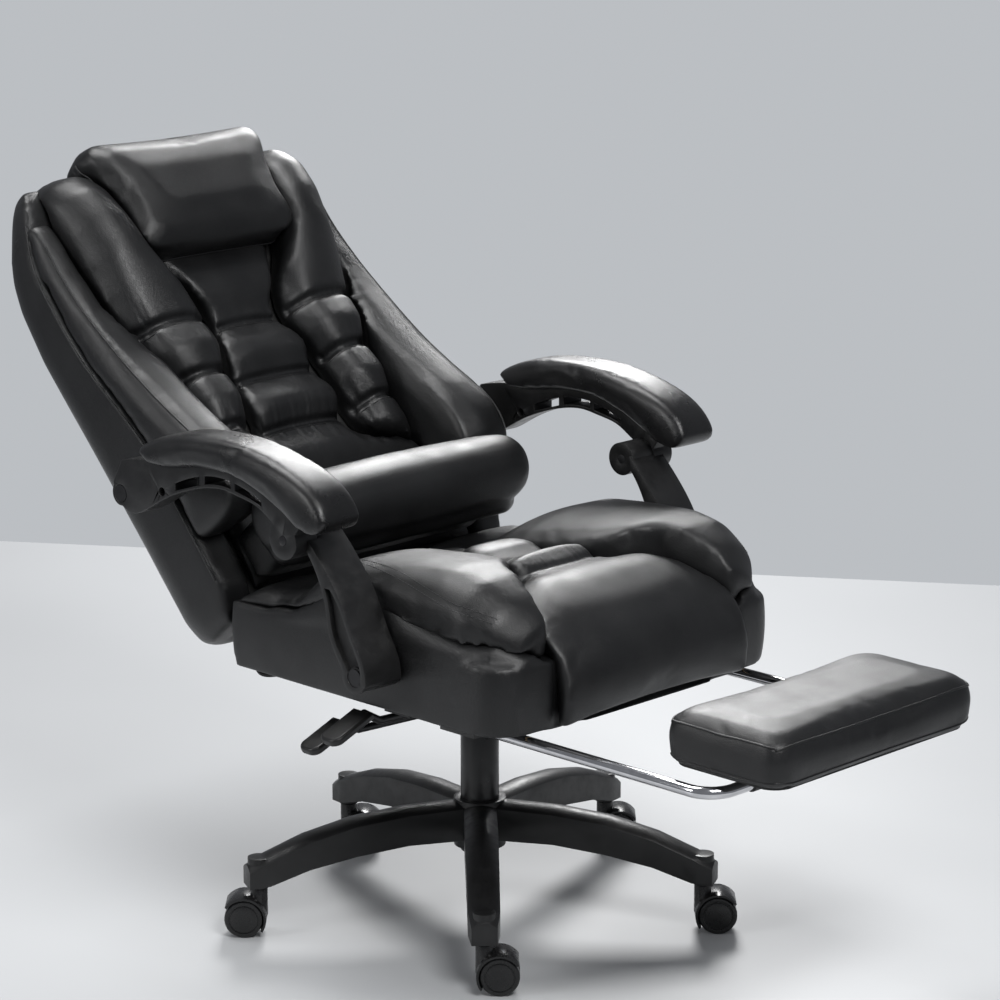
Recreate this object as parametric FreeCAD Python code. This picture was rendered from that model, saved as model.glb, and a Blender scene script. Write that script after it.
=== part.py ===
import FreeCAD, Part
import math
import os

# Office recliner with a pull-out footrest, in millimetres.
# The floor is z = 0, the gas lift stands on the Z axis and the sitter looks along -Y.
# Left and right are the sitter's, so the right side with the levers is at -X.

V = FreeCAD.Vector
ORIGIN = V(0, 0, 0)
X_AXIS = V(1, 0, 0)
Y_AXIS = V(0, 1, 0)
Z_AXIS = V(0, 0, 1)
SIDES = (("right", -1), ("left", 1))

# Star base
star_arms = 5
star_yaw = 153.7
stem_circle = 300.0
hub_radius = 34.0
hub_bottom = 88.0
hub_top = 151.7
star_wall = 3.5
star_rib = 3.0
star_ribs = 4
socket_radius = 14.0
socket_bottom = 64.0
# Radius, top height, bottom height and half width of the star arm
star_sections = (
    (20.0, 150.0, 100.0, 21.0), (105.0, 149.0, 102.0, 21.5), (175.0, 142.0, 95.0, 21.0),
    (238.0, 127.0, 84.0, 20.5), (290.0, 107.0, 68.0, 20.0), (316.0, 94.0, 65.0, 16.0))
arm_crown_drop = 7.0

# Casters
wheel_radius = 25.0
wheel_width = 17.0
wheel_gap = 7.0
wheel_rounding = 3.0
caster_trail = 19.0
caster_headings = (134.3, -45.7, -45.7, -45.7, -45.7)
hood_thickness = 3.0
hood_width = 45.0
hood_clearance = 1.0
hood_arc_from = 35.0
hood_arc_to = 215.0
hood_boss_radius = 11.0
hood_top = 62.0
web_thickness = 5.0
axle_radius = 3.0
stem_radius = 5.5
stem_pin_radius = 4.0
stem_pin_bottom = 47.0
stem_top = 88.0
running_gap = 0.05
turning_gap = 0.3

# Gas lift
outer_tube_radius = 25.0
outer_tube_wall = 1.5
outer_tube_bottom = 80.0
outer_tube_top = 258.0
tube_foot = 3.0
sleeve_length = 112.0
pressure_tube_radius = 14.0
pressure_tube_bore = 11.5
pressure_tube_bottom = 112.0
pressure_tube_top = 294.0
tube_cap = 8.0
taper_length = 30.0
taper_growth = 0.7
gas_rod_radius = 5.0
gas_piston_height = 12.0
gas_piston_bottom = 230.0
bearing_radius = 11.0
bearing_height = 8.0
rod_clip_radius = 9.0
rod_clip_height = 1.5
button_radius = 4.0
button_reach = 6.0

# Seat box
seat_half_width = 259.0
seat_rear = 192.0
seat_front = -303.0
seat_corner_front = -232.0
seat_corner_inset = 48.0
seat_front_shoulder = -290.0
seat_bottom = 344.0
seat_seam = 432.0
seat_draw_in = 4.0
dust_cover_thickness = 1.5
seat_board_thickness = 12.0
board_margin = 19.0

# Seat cushions: profile points are (y, z) on the chair's middle plane
seat_pad_floor = 430.0
seat_pad_profile = (
    (190.0, 436.0), (129.0, 441.0), (72.0, 462.0), (20.0, 467.0), (-29.0, 496.0), (-78.0, 482.0),
    (-110.0, 499.0), (-141.0, 486.0), (-190.0, 491.0), (-244.0, 478.0), (-290.0, 452.0),
    (-312.0, 401.0), (-304.0, 346.0))
seat_front_leg = 288.0
# The strip between the wings: (y, half width)
seat_strip = (
    (192.0, 46.0), (72.0, 47.0), (20.0, 50.0), (-78.0, 61.0), (-141.0, 85.0), (-180.0, 128.0),
    (-225.0, 152.0), (-295.0, 171.0), (-330.0, 172.0))
# The wing: (y, crest height, outer edge height, outer edge x, height of the crease below its lip)
wing_sections = (
    (190.0, 440.0, 437.0, 255.5, 435.0), (120.0, 444.0, 440.0, 258.0, 433.5),
    (75.0, 453.0, 447.0, 259.0, 440.0), (45.0, 482.0, 468.0, 259.0, 456.0),
    (20.0, 499.0, 488.0, 259.0, 476.0), (-20.0, 512.0, 499.0, 259.0, 488.0),
    (-100.0, 521.0, 497.0, 259.0, 482.0), (-170.0, 525.0, 485.0, 259.0, 462.0),
    (-215.0, 518.0, 477.0, 257.0, 456.0), (-255.0, 500.0, 466.0, 243.0, 455.0),
    (-284.0, 472.0, 447.0, 216.0, 440.0))
shoulder_depth = 34.0
shoulder_rounding = 13.0
shoulder_foot = 424.0
wing_inner_x = 38.0
wing_crest_x = 212.0
wing_inner_drop_share = 0.62
crown_share = 0.866

# Chassis under the seat
chassis_thickness = 10.0
rail_x = 176.0
rail_width = 6.0
ear_inner_y = 193.0
ear_thickness = 14.0
hinge_y = 200.0
hinge_z = 410.0
hinge_pin_radius = 5.0
side_ear_x = 246.0
side_ear_thickness = 4.0
side_ear_width = 44.0
side_ear_top = 420.0
side_strip_height = 2.5
rail_front = -190.0
rail_rear = 207.0
member_centres = (-175.0, -45.0, 80.0)
member_widths = (30.0, 60.0, 60.0)

# Mechanism housing: (height, half width, front, rear)
housing_sections = (
    (262.0, 46.0, -42.0, 62.0), (284.0, 76.0, -70.0, 100.0), (326.0, 85.0, -75.0, 110.0),
    (334.0, 85.0, -75.0, 110.0))
housing_corner = 12.0
housing_wall = 5.0
housing_floor = 272.0
bay_half = 58.0
bay_front = -56.0
bay_rear = 84.0
bay_floor = 278.0
tube_seat_radius = 24.0
bolt_radius = 4.0
bolt_head_radius = 6.5
bolt_head_height = 5.0
bolt_x = 72.0
bolt_ys = (-45.0, 80.0)

# Hand levers
lever_pivot_x = -50.0
lever_rod_radius = 5.0
lever_rod_end = -262.0
lever_swing_slot = 22.0
lever_straight_end = -104.0
lever_shoulder_x = -214.0
lever_shoulder_lift = 5.0
lever_lift = 20.0
lever_slope = 21.0
lever_journal_radius = 4.0
lever_journal_depth = 8.0
height_lever_y = -36.0
height_lever_z = 306.0
recline_lever_y = 2.0
recline_lever_z = 286.0
paddle_width = 34.0
paddle_thickness = 11.0
paddle_root = -240.0
paddle_tip = -308.0
paddle_rounding = 4.0
lever_finger = 8.0
lever_finger_width = 16.0

# Recline clamp on the right ear
clamp_angle = -60.0
clamp_bolt_radius = 4.0
clamp_head_radius = 10.0
clamp_head_height = 4.0
sector_outer = 56.0
clamp_rim_gap = 1.0
clamp_orbit = sector_outer + clamp_rim_gap + clamp_bolt_radius
sector_margin = 8.0
clamp_lever_length = 26.0
clamp_lever_width = 12.0
clamp_lever_thickness = 6.0
clamp_lever_angle = -122.0
washer_gap = 2.0
cable_radius = 2.5
# The cable's route from the housing to the clamp lever, which its last point lies under
cable_route = (
    (-70.0, 60.0, 304.0), (-112.0, 62.0, 305.0), (-150.0, 88.0, 311.0), (-164.0, 140.0, 317.0),
    (-176.0, 186.0, 316.0), (-192.0, 212.0, 317.0))

# Pull-out footrest
rod_radius = 7.5
rod_half_span = 200.0
rod_height = 333.5
rod_bend = 34.0
footrest_bar_y = -572.0
footrest_rear_y = -140.0
guide_front = -200.0
guide_rear = -140.0
guide_half_width = 11.0
guide_bottom = 322.0
footrest_half_width = 188.5
footrest_front = -659.0
footrest_back = -479.0
footrest_bottom = 351.0
footrest_top = 418.0
footrest_board_thickness = 8.0
# Footrest pad: (height, inset)
footrest_layers = (
    (footrest_bottom, 6.0), (359.0, 2.0), (384.5, 0.0), (402.0, 3.0), (413.0, 16.0),
    (footrest_top, 48.0))
footrest_board_inset = 9.0
footrest_corner = 26.0
clip_xs = (-120.0, 120.0)
clip_width = 26.0
clip_wall = 2.5

# Back: frame (s up the back, t towards the sitter), pivot at the hinge, leaned by back_lean
back_lean = 41.0
back_travel = 26.0
back_half_width = 258.0
pocket_half_width = 205.0
pocket_bottom = 8.0
pocket_top = 640.0
back_board_front = -2.0
back_board_thickness = 12.0
back_board_gap = 2.0
# s, front t, rear t, half width, rear corner radius
shell_sections = (
    (-8.0, -6.0, -88.0, 250.0, 50.0), (4.0, -2.0, -106.0, 256.0, 58.0), (36.0, 17.0, -116.0, 258.0, 60.0),
    (150.0, 18.0, -117.0, 258.0, 60.0), (246.0, 17.0, -119.0, 258.0, 60.0),
    (323.0, 2.0, -121.0, 258.0, 60.0), (388.0, -12.0, -123.0, 258.0, 60.0),
    (450.0, -18.0, -125.0, 258.0, 60.0), (523.0, -18.0, -119.0, 258.0, 60.0),
    (560.0, -11.0, -107.0, 257.0, 58.0), (584.0, 0.0, -90.0, 255.0, 52.0),
    (608.0, 10.0, -66.0, 251.0, 42.0), (628.0, 12.0, -46.0, 245.0, 28.0),
    (644.0, 9.0, -33.0, 236.0, 18.0), (652.0, 6.0, -27.0, 228.0, 12.0))
hinge_pocket_inner = 172.0
hinge_pocket_outer = 208.0
hinge_pocket_top = 14.0
hinge_pocket_front = 14.0
hinge_pocket_rear = -64.0
bracket_x = 184.0
bracket_thickness = 6.0
bracket_eye = 7.5
bracket_rear = -40.0
bracket_top = 150.0

# Back cushions
# Centre pad surface (s, t)
center_pad_profile = (
    (12.0, 6.0), (60.0, 12.0), (150.0, 18.0), (190.0, 26.0), (226.0, 14.0), (265.0, 31.0),
    (305.0, 14.0), (348.0, 31.0), (391.0, 14.0), (445.0, 30.0), (520.0, 22.0), (640.0, 16.0),
    (652.0, 4.0))
# Centre pad outline (s, half width)
center_outline = (
    (6.0, 203.0), (60.0, 203.0), (110.0, 203.0), (145.0, 200.0), (166.0, 180.0), (190.0, 122.0),
    (208.0, 95.0), (235.0, 84.0), (275.0, 80.0), (320.0, 77.0), (360.0, 69.0),
    (400.0, 62.0), (455.0, 80.0), (510.0, 115.0), (590.0, 138.0), (660.0, 146.0))
# Bolster: (s, crest t, inner x, outer x)
bolster_sections = (
    (158.0, 22.0, 120.0, 176.0), (176.0, 40.0, 124.0, 180.0), (204.0, 49.0, 88.0, 182.0),
    (229.0, 42.0, 79.0, 181.0), (235.0, 29.0, 78.0, 180.0), (241.0, 42.0, 76.0, 181.0),
    (277.0, 52.0, 72.0, 186.0), (312.0, 44.0, 70.0, 189.0), (318.0, 30.0, 69.0, 189.0),
    (324.0, 44.0, 68.0, 190.0), (360.0, 54.0, 61.0, 198.0), (394.0, 46.0, 55.0, 205.0),
    (400.0, 32.0, 54.0, 206.0), (406.0, 46.0, 54.0, 208.0), (455.0, 56.0, 68.0, 217.0),
    (509.0, 66.0, 100.0, 223.0), (559.0, 74.0, 118.0, 226.0), (604.0, 70.0, 128.0, 227.0),
    (636.0, 53.0, 132.0, 224.0), (654.0, 26.0, 134.0, 214.0))
bolster_crest_share = 0.56
bolster_inner_share = 0.4
bolster_outer_drop = 26.0
bolster_side_share = 0.6
# Side panel front edge (s, t)
side_panel_edge = (
    (99.0, 18.0), (97.0, 70.0), (112.0, 106.0), (140.0, 115.0), (166.0, 114.0), (199.0, 104.0),
    (284.0, 70.0), (366.0, 42.0), (452.0, 21.0), (516.0, 15.0), (566.0, 16.0), (592.0, 13.0),
    (602.0, 0.0))
side_panel_inner = 176.0
side_panel_rounding = 9.0

# Headrest pillow: (t, inset) and its outline
headrest_layers = ((-6.0, 6.0), (34.0, 0.0), (62.0, 5.0), (76.0, 26.0), (83.0, 62.0))
headrest_bottom = 497.0
headrest_top = 680.0
headrest_low_half = 142.0
headrest_high_half = 160.0
headrest_corner_share = 0.16
headrest_draw_in = 4.0

# Lumbar pillow
roll_s = 66.0
roll_t = 116.0
roll_radius = 46.0
roll_end_radius = 31.0
roll_half_length = 229.0
roll_shoulder = 214.0
roll_drop_share = 0.25
roll_middle_share = 0.083
roll_end_share = 0.6
roll_bend_share = 0.7
roll_bend_height = 1.1
lobe_s = 32.0
lobe_t = 92.0
lobe_radius = 20.0
lobe_half_length = 218.0
tongue_half_length = 198.0
tongue_low = 31.0
tongue_high = 96.0

# Arm linkage: the seat, strut, arm frame and back make a parallelogram
arm_rear_pivot = (303.0, 566.0)
strut_foot_pivot = (-105.0, 403.0)
knuckle_pivot = (strut_foot_pivot[0] + arm_rear_pivot[0] - hinge_y,
                 strut_foot_pivot[1] + arm_rear_pivot[1] - hinge_z)
arm_inner_x = 305.0
arm_outer_x = 341.0
arm_boss_radius = 16.0
arm_boss_inner = 262.0
pivot_bolt_radius = 6.0
pivot_bolt_head = 11.0
pivot_bolt_head_height = 5.0
arm_pivot_gap = 0.1
arm_bolt_inner = 222.0
# Arm frame outline (y, z), from the rear boss round by the pad and the knuckle
arm_top_line = (
    (300.0, 610.0), (282.0, 614.0), (241.0, 620.0), (201.0, 622.0), (157.0, 629.0), (113.0, 633.0),
    (77.0, 631.0), (35.0, 620.0), (-8.0, 602.0), (-36.0, 587.0))
arm_under_line = (
    (-22.0, 568.0), (19.0, 580.0), (40.0, 592.0), (76.0, 600.0), (106.0, 604.0), (131.0, 602.0),
    (188.0, 586.0), (220.0, 572.0), (252.0, 554.0), (270.0, 546.0), (290.0, 545.0))
arm_rear_line = ((312.0, 556.0), (317.0, 580.0))
arm_lobe_radius = 24.0
# Windows between the strip and the beam: (y from, y to)
arm_windows = ((36.0, 84.0), (92.0, 140.0), (150.0, 196.0))
window_low = (
    (27.0, 592.0), (51.0, 600.0), (76.0, 605.0), (106.0, 609.0), (131.0, 607.0), (165.0, 598.0),
    (196.0, 588.0))
window_high = (
    (27.0, 597.0), (51.0, 607.0), (76.0, 614.0), (106.0, 618.0), (131.0, 617.0), (165.0, 609.0),
    (196.0, 597.0))
arm_round_hole = (222.0, 582.0)
arm_round_hole_radius = 5.5

# Arm pad
pad_inner_x = 288.0
pad_outer_x = 358.0
pad_top_line = (
    (258.0, 634.0), (221.0, 652.0), (164.0, 664.0), (113.0, 667.0), (90.0, 667.0), (35.0, 662.0),
    (-19.0, 650.0), (-63.0, 631.0), (-82.0, 614.0))
pad_nose_line = ((-90.0, 598.0), (-84.0, 586.0), (-61.0, 578.0))
pad_floor_line = (
    (-40.0, 583.0), (-8.0, 600.0), (35.0, 618.0), (77.0, 629.0), (113.0, 631.0), (157.0, 627.0),
    (201.0, 620.0), (236.0, 619.0))
pad_rounding = 13.0

# Front strut
strut_inner_x = 262.0
strut_outer_x = 322.0
strut_knuckle_radius = 22.0
strut_foot_radius = 20.0
strut_rear_line = (
    (-22.0, 548.0), (-33.0, 534.0), (-47.0, 509.0), (-56.0, 482.0), (-62.0, 448.0), (-76.0, 422.0),
    (-92.0, 400.0))
strut_front_line = (
    (-125.0, 394.0), (-122.0, 418.0), (-104.0, 451.0), (-84.0, 491.0), (-55.0, 530.0),
    (-20.0, 566.0))
knuckle_inner_x = 266.0
knuckle_gap = 0.4
recess_depth = 7.0
recess_rear_line = ((-54.0, 506.0), (-63.0, 478.0), (-70.0, 448.0), (-84.0, 424.0), (-96.0, 404.0))
recess_front_line = (
    (-116.0, 396.0), (-115.0, 417.0), (-98.0, 451.0), (-80.0, 486.0), (-64.0, 506.0))
strut_bolt_inner = 244.0
strut_boss_radius = 13.0


# Helpers

def rod_x(x_from, x_to, centre, radius):
    return Part.makeCylinder(radius, x_to - x_from, V(x_from, centre[0], centre[1]), X_AXIS)


def rod_z(bottom, top, radius, x=0.0, y=0.0):
    return Part.makeCylinder(radius, top - bottom, V(x, y, bottom), Z_AXIS)


def block(x_span, y_span, z_span):
    size = (x_span[1] - x_span[0], y_span[1] - y_span[0], z_span[1] - z_span[0])
    return Part.makeBox(size[0], size[1], size[2], V(x_span[0], y_span[0], z_span[0]))


def line_edge(points):
    if len(points) == 2:
        return Part.makeLine(points[0], points[1])
    curve = Part.BSplineCurve()
    curve.interpolate(points)
    return curve.toShape()


def closed_wire(lines):
    edges = []
    for index, points in enumerate(lines):
        if len(points) > 1:
            edges.append(line_edge(points))
        following = lines[(index + 1) % len(lines)]
        if points[-1].distanceToPoint(following[0]) > turning_gap:
            edges.append(Part.makeLine(points[-1], following[0]))
    return Part.Wire(edges)


def side_points(points, x=0.0):
    return [V(x, y, z) for y, z in points]


def side_plate(lines, x_from, x_to):
    wire = closed_wire([side_points(points, x_from) for points in lines])
    return Part.Face(wire).extrude(V(x_to - x_from, 0, 0))


def plan_prism(outline, bottom, top):
    right = [V(-half, y, bottom) for y, half in outline]
    left = [V(half, y, bottom) for y, half in reversed(outline)]
    return Part.Face(closed_wire([right, left])).extrude(V(0, 0, top - bottom))


def loft(wires, ruled=True):
    return Part.makeLoft(wires, True, ruled)


def rounded(shape, radius, picks):
    edges = [edge for edge in shape.Edges if picks(edge)]
    return shape.makeFillet(radius, edges)


def along_x(edge):
    return edge.BoundBox.XLength > edge.BoundBox.YLength + edge.BoundBox.ZLength


def at_x(edge, x):
    box = edge.BoundBox
    return abs(box.XMin - x) < turning_gap and abs(box.XMax - x) < turning_gap


def mirrored(shape):
    return shape.mirror(ORIGIN, X_AXIS)


def largest(shape):
    return max(shape.Solids, key=lambda solid: solid.Volume)


def one(shape):
    return shape.removeSplitter()


# The back's pieces are made upright, with x across, -y towards the sitter and z up the back
def back_points(points):
    return [(-t, s) for s, t in points]


def on_back(shape):
    placed = shape.copy()
    placed.rotate(ORIGIN, X_AXIS, -back_lean)
    placed.translate(V(0, hinge_y, hinge_z))
    return placed


# Star base

def arm_section(section, inset, drop):
    radius, top, bottom, half = section
    half -= inset
    top -= inset
    low = bottom - drop
    shoulder = top - arm_crown_drop
    corners = [V(radius, -half, low), V(radius, -half, shoulder)]
    corners += [V(radius, half, shoulder), V(radius, half, low)]
    crown = Part.Arc(corners[1], V(radius, 0, top), corners[2]).toShape()
    return Part.Wire([
        Part.makeLine(corners[0], corners[1]), crown, Part.makeLine(corners[2], corners[3]),
        Part.makeLine(corners[3], corners[0])])


def make_star_arm():
    outer = loft([arm_section(section, 0.0, 0.0) for section in star_sections])
    inner = loft([arm_section(section, star_wall, star_wall) for section in star_sections[:-1]])
    arm = outer.cut(inner)
    inner_radius = hub_radius + star_wall
    pitch = (stem_circle - socket_radius - inner_radius) / (star_ribs + 1)
    for index in range(1, star_ribs + 1):
        middle = inner_radius + index * pitch
        x_span = (middle - star_rib / 2, middle + star_rib / 2)
        rib = block(x_span, (-hub_radius, hub_radius), (socket_bottom, hub_top))
        arm = arm.fuse(rib.common(outer))
    tip = star_sections[-1][0]
    end_wall = block((tip - star_wall, tip), (-hub_radius, hub_radius), (socket_bottom, hub_top))
    spine = block((hub_radius, stem_circle), (-star_rib / 2, star_rib / 2), (socket_bottom, hub_top))
    socket = rod_z(socket_bottom, hub_top, socket_radius, stem_circle)
    post = rod_z(socket_bottom, star_sections[-2][1] - star_wall, socket_radius, stem_circle)
    below_top = socket.common(outer).fuse(post)
    return arm.fuse([end_wall.common(outer), spine.common(outer), below_top])


def make_star_base():
    arm = make_star_arm()
    hub = rod_z(hub_bottom, hub_top, hub_radius)
    arms = []
    for index in range(star_arms):
        turned = arm.copy()
        turned.rotate(ORIGIN, Z_AXIS, star_yaw + index * 360 / star_arms)
        arms.append(turned)
    base = hub.fuse(arms)
    base = base.cut(rod_z(0, outer_tube_top, outer_tube_radius))
    for x, y in stem_places():
        base = base.cut(rod_z(0, stem_top, stem_radius, x, y))
    return one(base)


def stem_places():
    places = []
    for index in range(star_arms):
        angle = math.radians(star_yaw + index * 360 / star_arms)
        places.append((stem_circle * math.cos(angle), stem_circle * math.sin(angle)))
    return places


# Casters: made with the stem on the Z axis and the wheels trailing along +X

def make_caster_stem(x, y):
    shank = rod_z(hood_top + running_gap, stem_top, stem_radius, x, y)
    pin = rod_z(stem_pin_bottom, hood_top + running_gap, stem_pin_radius, x, y)
    return shank.fuse(pin)


def make_caster_stems():
    return Part.makeCompound([make_caster_stem(x, y) for x, y in stem_places()])


def axle_cylinder(radius, width):
    return Part.makeCylinder(radius, width, V(caster_trail, -width / 2, wheel_radius), Y_AXIS)


def hood_point(radius, degrees, width):
    angle = math.radians(degrees)
    return V(caster_trail + radius * math.cos(angle), -width / 2, wheel_radius + radius * math.sin(angle))


def hood_sector(inner, outer, width):
    middle = (hood_arc_from + hood_arc_to) / 2
    outer_arc = Part.Arc(*[hood_point(outer, angle, width) for angle in (hood_arc_from, middle, hood_arc_to)])
    inner_arc = Part.Arc(*[hood_point(inner, angle, width) for angle in (hood_arc_to, middle, hood_arc_from)])
    ends = []
    for angle in (hood_arc_to, hood_arc_from):
        ends.append(Part.makeLine(hood_point(outer, angle, width), hood_point(inner, angle, width)))
    edges = [outer_arc.toShape(), ends[0], inner_arc.toShape(), ends[1]]
    return Part.Face(Part.Wire(edges)).extrude(V(0, width, 0))


def make_caster_hood():
    inner = wheel_radius + hood_clearance
    outer = inner + hood_thickness
    cover = hood_sector(inner, outer, hood_width)
    web = hood_sector(inner / 2, inner + hood_clearance, web_thickness)
    disc = axle_cylinder(inner / 2 + hood_clearance, web_thickness)
    boss = rod_z(wheel_radius, hood_top, hood_boss_radius).cut(axle_cylinder(inner, hood_width))
    hood = cover.fuse([web, disc, boss])
    hood = hood.cut(axle_cylinder(axle_radius + running_gap, hood_width))
    pin_hole = rod_z(stem_pin_bottom - hood_clearance, hood_top, stem_pin_radius + running_gap)
    return one(hood.cut(pin_hole))


def make_caster_wheels():
    inner_face = wheel_gap / 2
    outer_face = inner_face + wheel_width
    solids = [axle_cylinder(axle_radius, 2 * outer_face)]
    groove_depth = wheel_rounding / 2
    for sign in (-1, 1):
        start = V(caster_trail, sign * inner_face, wheel_radius)
        direction = V(0, sign, 0)
        wheel = Part.makeCylinder(wheel_radius, wheel_width, start, direction)
        wheel = wheel.makeFillet(wheel_rounding, wheel.Edges[:1] + wheel.Edges[2:])
        face_start = V(caster_trail, sign * (outer_face - groove_depth), wheel_radius)
        groove_radius = wheel_radius - 2 * wheel_rounding
        groove = Part.makeCylinder(groove_radius, groove_depth, face_start, direction)
        cap = Part.makeCylinder(groove_radius - groove_depth, groove_depth, face_start, direction)
        wheel = wheel.cut(groove.cut(cap)).cut(solids[0])
        solids.append(wheel)
    return Part.makeCompound(solids)


def at_caster(shape, index):
    placed = shape.copy()
    placed.rotate(ORIGIN, Z_AXIS, caster_headings[index])
    x, y = stem_places()[index]
    placed.translate(V(x, y, 0))
    return placed


# Gas lift

def make_gas_outer_tube():
    tube = rod_z(outer_tube_bottom, outer_tube_top, outer_tube_radius)
    bore_radius = outer_tube_radius - outer_tube_wall
    bore = rod_z(outer_tube_bottom + tube_foot, outer_tube_top, bore_radius)
    return tube.cut(bore).cut(rod_z(0, outer_tube_top, gas_rod_radius + running_gap))


def make_gas_guide_sleeve():
    sleeve = rod_z(outer_tube_top - sleeve_length, outer_tube_top, outer_tube_radius - outer_tube_wall)
    return sleeve.cut(rod_z(0, outer_tube_top, pressure_tube_radius + running_gap))


def bearing_bottom():
    return outer_tube_bottom + tube_foot


def make_thrust_bearing():
    bearing = rod_z(bearing_bottom(), bearing_bottom() + bearing_height, bearing_radius)
    return bearing.cut(rod_z(0, outer_tube_top, gas_rod_radius + running_gap))


def make_rod_clip():
    clip = rod_z(outer_tube_bottom - rod_clip_height, outer_tube_bottom, rod_clip_radius)
    return clip.cut(rod_z(0, outer_tube_top, gas_rod_radius))


def make_gas_piston_rod():
    low = outer_tube_bottom - 2 * rod_clip_height
    rod = rod_z(low, gas_piston_bottom, gas_rod_radius)
    collar_bottom = bearing_bottom() + bearing_height
    collar = rod_z(collar_bottom, collar_bottom + rod_clip_height, rod_clip_radius)
    piston = rod_z(gas_piston_bottom, gas_piston_bottom + gas_piston_height, pressure_tube_bore - running_gap)
    return one(rod.fuse([collar, piston]))


def tube_taper(gap):
    low = pressure_tube_top - taper_length
    radius = pressure_tube_radius + gap
    return Part.makeCone(radius, radius - taper_growth, taper_length, V(0, 0, low), Z_AXIS)


def make_gas_pressure_tube():
    tube = rod_z(pressure_tube_bottom, pressure_tube_top - taper_length, pressure_tube_radius)
    tube = tube.fuse(tube_taper(0.0))
    chamber = rod_z(pressure_tube_bottom + tube_cap, pressure_tube_top - tube_cap, pressure_tube_bore)
    tube = tube.cut(chamber).cut(rod_z(0, gas_piston_bottom, gas_rod_radius + running_gap))
    return one(tube.cut(rod_z(gas_piston_bottom, pressure_tube_top, button_radius + running_gap)))


def make_lift_release_button():
    return rod_z(pressure_tube_top - tube_cap, pressure_tube_top + button_reach, button_radius)


# Seat box

def seat_outline(height, inset):
    side = seat_half_width - inset
    rear = seat_rear - inset
    front = seat_front + inset
    shoulder_x = side - seat_corner_inset
    shoulder_y = seat_front_shoulder + inset
    corner_y = seat_corner_front
    turn = math.sin(math.radians(45))
    bend_x = shoulder_x + (side - shoulder_x) * turn
    bend_y = corner_y + (shoulder_y - corner_y) * turn
    left = [V(side, rear, height), V(side, corner_y, height)]
    left += [V(bend_x, bend_y, height), V(shoulder_x, shoulder_y, height)]
    right = [V(-point.x, point.y, point.z) for point in left]
    return Part.Wire([
        Part.makeLine(right[0], left[0]), Part.makeLine(left[0], left[1]),
        Part.Arc(left[1], left[2], left[3]).toShape(),
        Part.Arc(left[3], V(0, front, height), right[3]).toShape(),
        Part.Arc(right[3], right[2], right[1]).toShape(), Part.makeLine(right[1], right[0])])


def seat_board_prism(bottom, top, inset):
    wire = seat_outline(bottom, inset)
    return Part.Face(wire).extrude(V(0, 0, top - bottom))


def board_bottom():
    return seat_bottom + dust_cover_thickness


def board_top():
    return board_bottom() + seat_board_thickness


def make_seat_dust_cover():
    return seat_board_prism(seat_bottom, board_bottom(), board_margin).cut(make_side_strips())


def make_seat_board():
    return seat_board_prism(board_bottom(), board_top(), board_margin)


def make_seat_center_pad():
    lines = [side_points(seat_pad_profile, -seat_half_width)]
    floor = [(-seat_front_leg, seat_pad_profile[-1][1]), (-seat_front_leg, seat_pad_floor)]
    floor.append((seat_pad_profile[0][0], seat_pad_floor))
    lines += [[V(-seat_half_width, y, z)] for y, z in floor]
    pad = Part.Face(closed_wire(lines)).extrude(V(2 * seat_half_width, 0, 0))
    return pad.common(seat_strip_prism())


def seat_strip_prism():
    return plan_prism(seat_strip, seat_bottom, seat_seam + seat_half_width)


def wing_wire(section):
    y, crest, edge, edge_x = section[:4]
    inner_height = seat_pad_floor + (crest - seat_pad_floor) * wing_inner_drop_share
    crest_x = wing_crest_x * edge_x / seat_half_width
    low_in = V(wing_inner_x, y, seat_pad_floor)
    top_in = V(wing_inner_x, y, inner_height)
    top = V(crest_x, y, crest)
    top_out = V(edge_x, y, edge)
    low_out = V(edge_x - seat_draw_in / 2, y, seat_pad_floor)
    rise = crest - inner_height
    inner_middle = V((wing_inner_x + crest_x) / 2, y, inner_height + rise * crown_share)
    fall = crest - edge
    outer_middle = V((crest_x + edge_x) / 2, y, crest - fall / 4)
    return Part.Wire([
        Part.makeLine(low_in, top_in), Part.Arc(top_in, inner_middle, top).toShape(),
        Part.Arc(top, outer_middle, top_out).toShape(), Part.makeLine(top_out, low_out),
        Part.makeLine(low_out, low_in)])


def shoulder_wire(section):
    y, crease, edge_x = (section[0], section[-1], section[3])
    inner_x = edge_x - shoulder_depth
    low_in = V(inner_x, y, shoulder_foot)
    low_out = V(edge_x - seat_draw_in, y, shoulder_foot)
    top_in = V(inner_x, y, crease)
    rounding = min(shoulder_rounding, (crease - shoulder_foot) / 2)
    top_out = V(edge_x - rounding, y, crease)
    middle = V(edge_x, y, (shoulder_foot + crease) / 2)
    return Part.Wire([
        Part.makeLine(low_in, low_out), Part.Arc(low_out, middle, top_out).toShape(),
        Part.makeLine(top_out, top_in), Part.makeLine(top_in, low_in)])


def make_boxing_shoulder():
    shoulder = loft([shoulder_wire(section) for section in wing_sections[1:]])
    return shoulder.cut(seat_strip_prism())


def make_seat_bolster_left():
    wing = loft([wing_wire(section) for section in wing_sections])
    return largest(wing.cut([seat_strip_prism(), make_boxing_shoulder()]))


def make_seat_boxing(pad, bolsters):
    middle = (seat_bottom + seat_seam) / 2
    wires = [seat_outline(seat_bottom, seat_draw_in), seat_outline(middle, 0.0)]
    wires.append(seat_outline(seat_seam, seat_draw_in / 2))
    cover = seat_board_prism(seat_bottom, board_bottom(), board_margin)
    shoulder = make_boxing_shoulder()
    walls = loft(wires, False).fuse([shoulder, mirrored(shoulder)])
    walls = walls.cut([make_seat_board(), cover, make_side_brackets()])
    return one(walls.cut([pad] + bolsters + strut_bolt_bores()))


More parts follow.
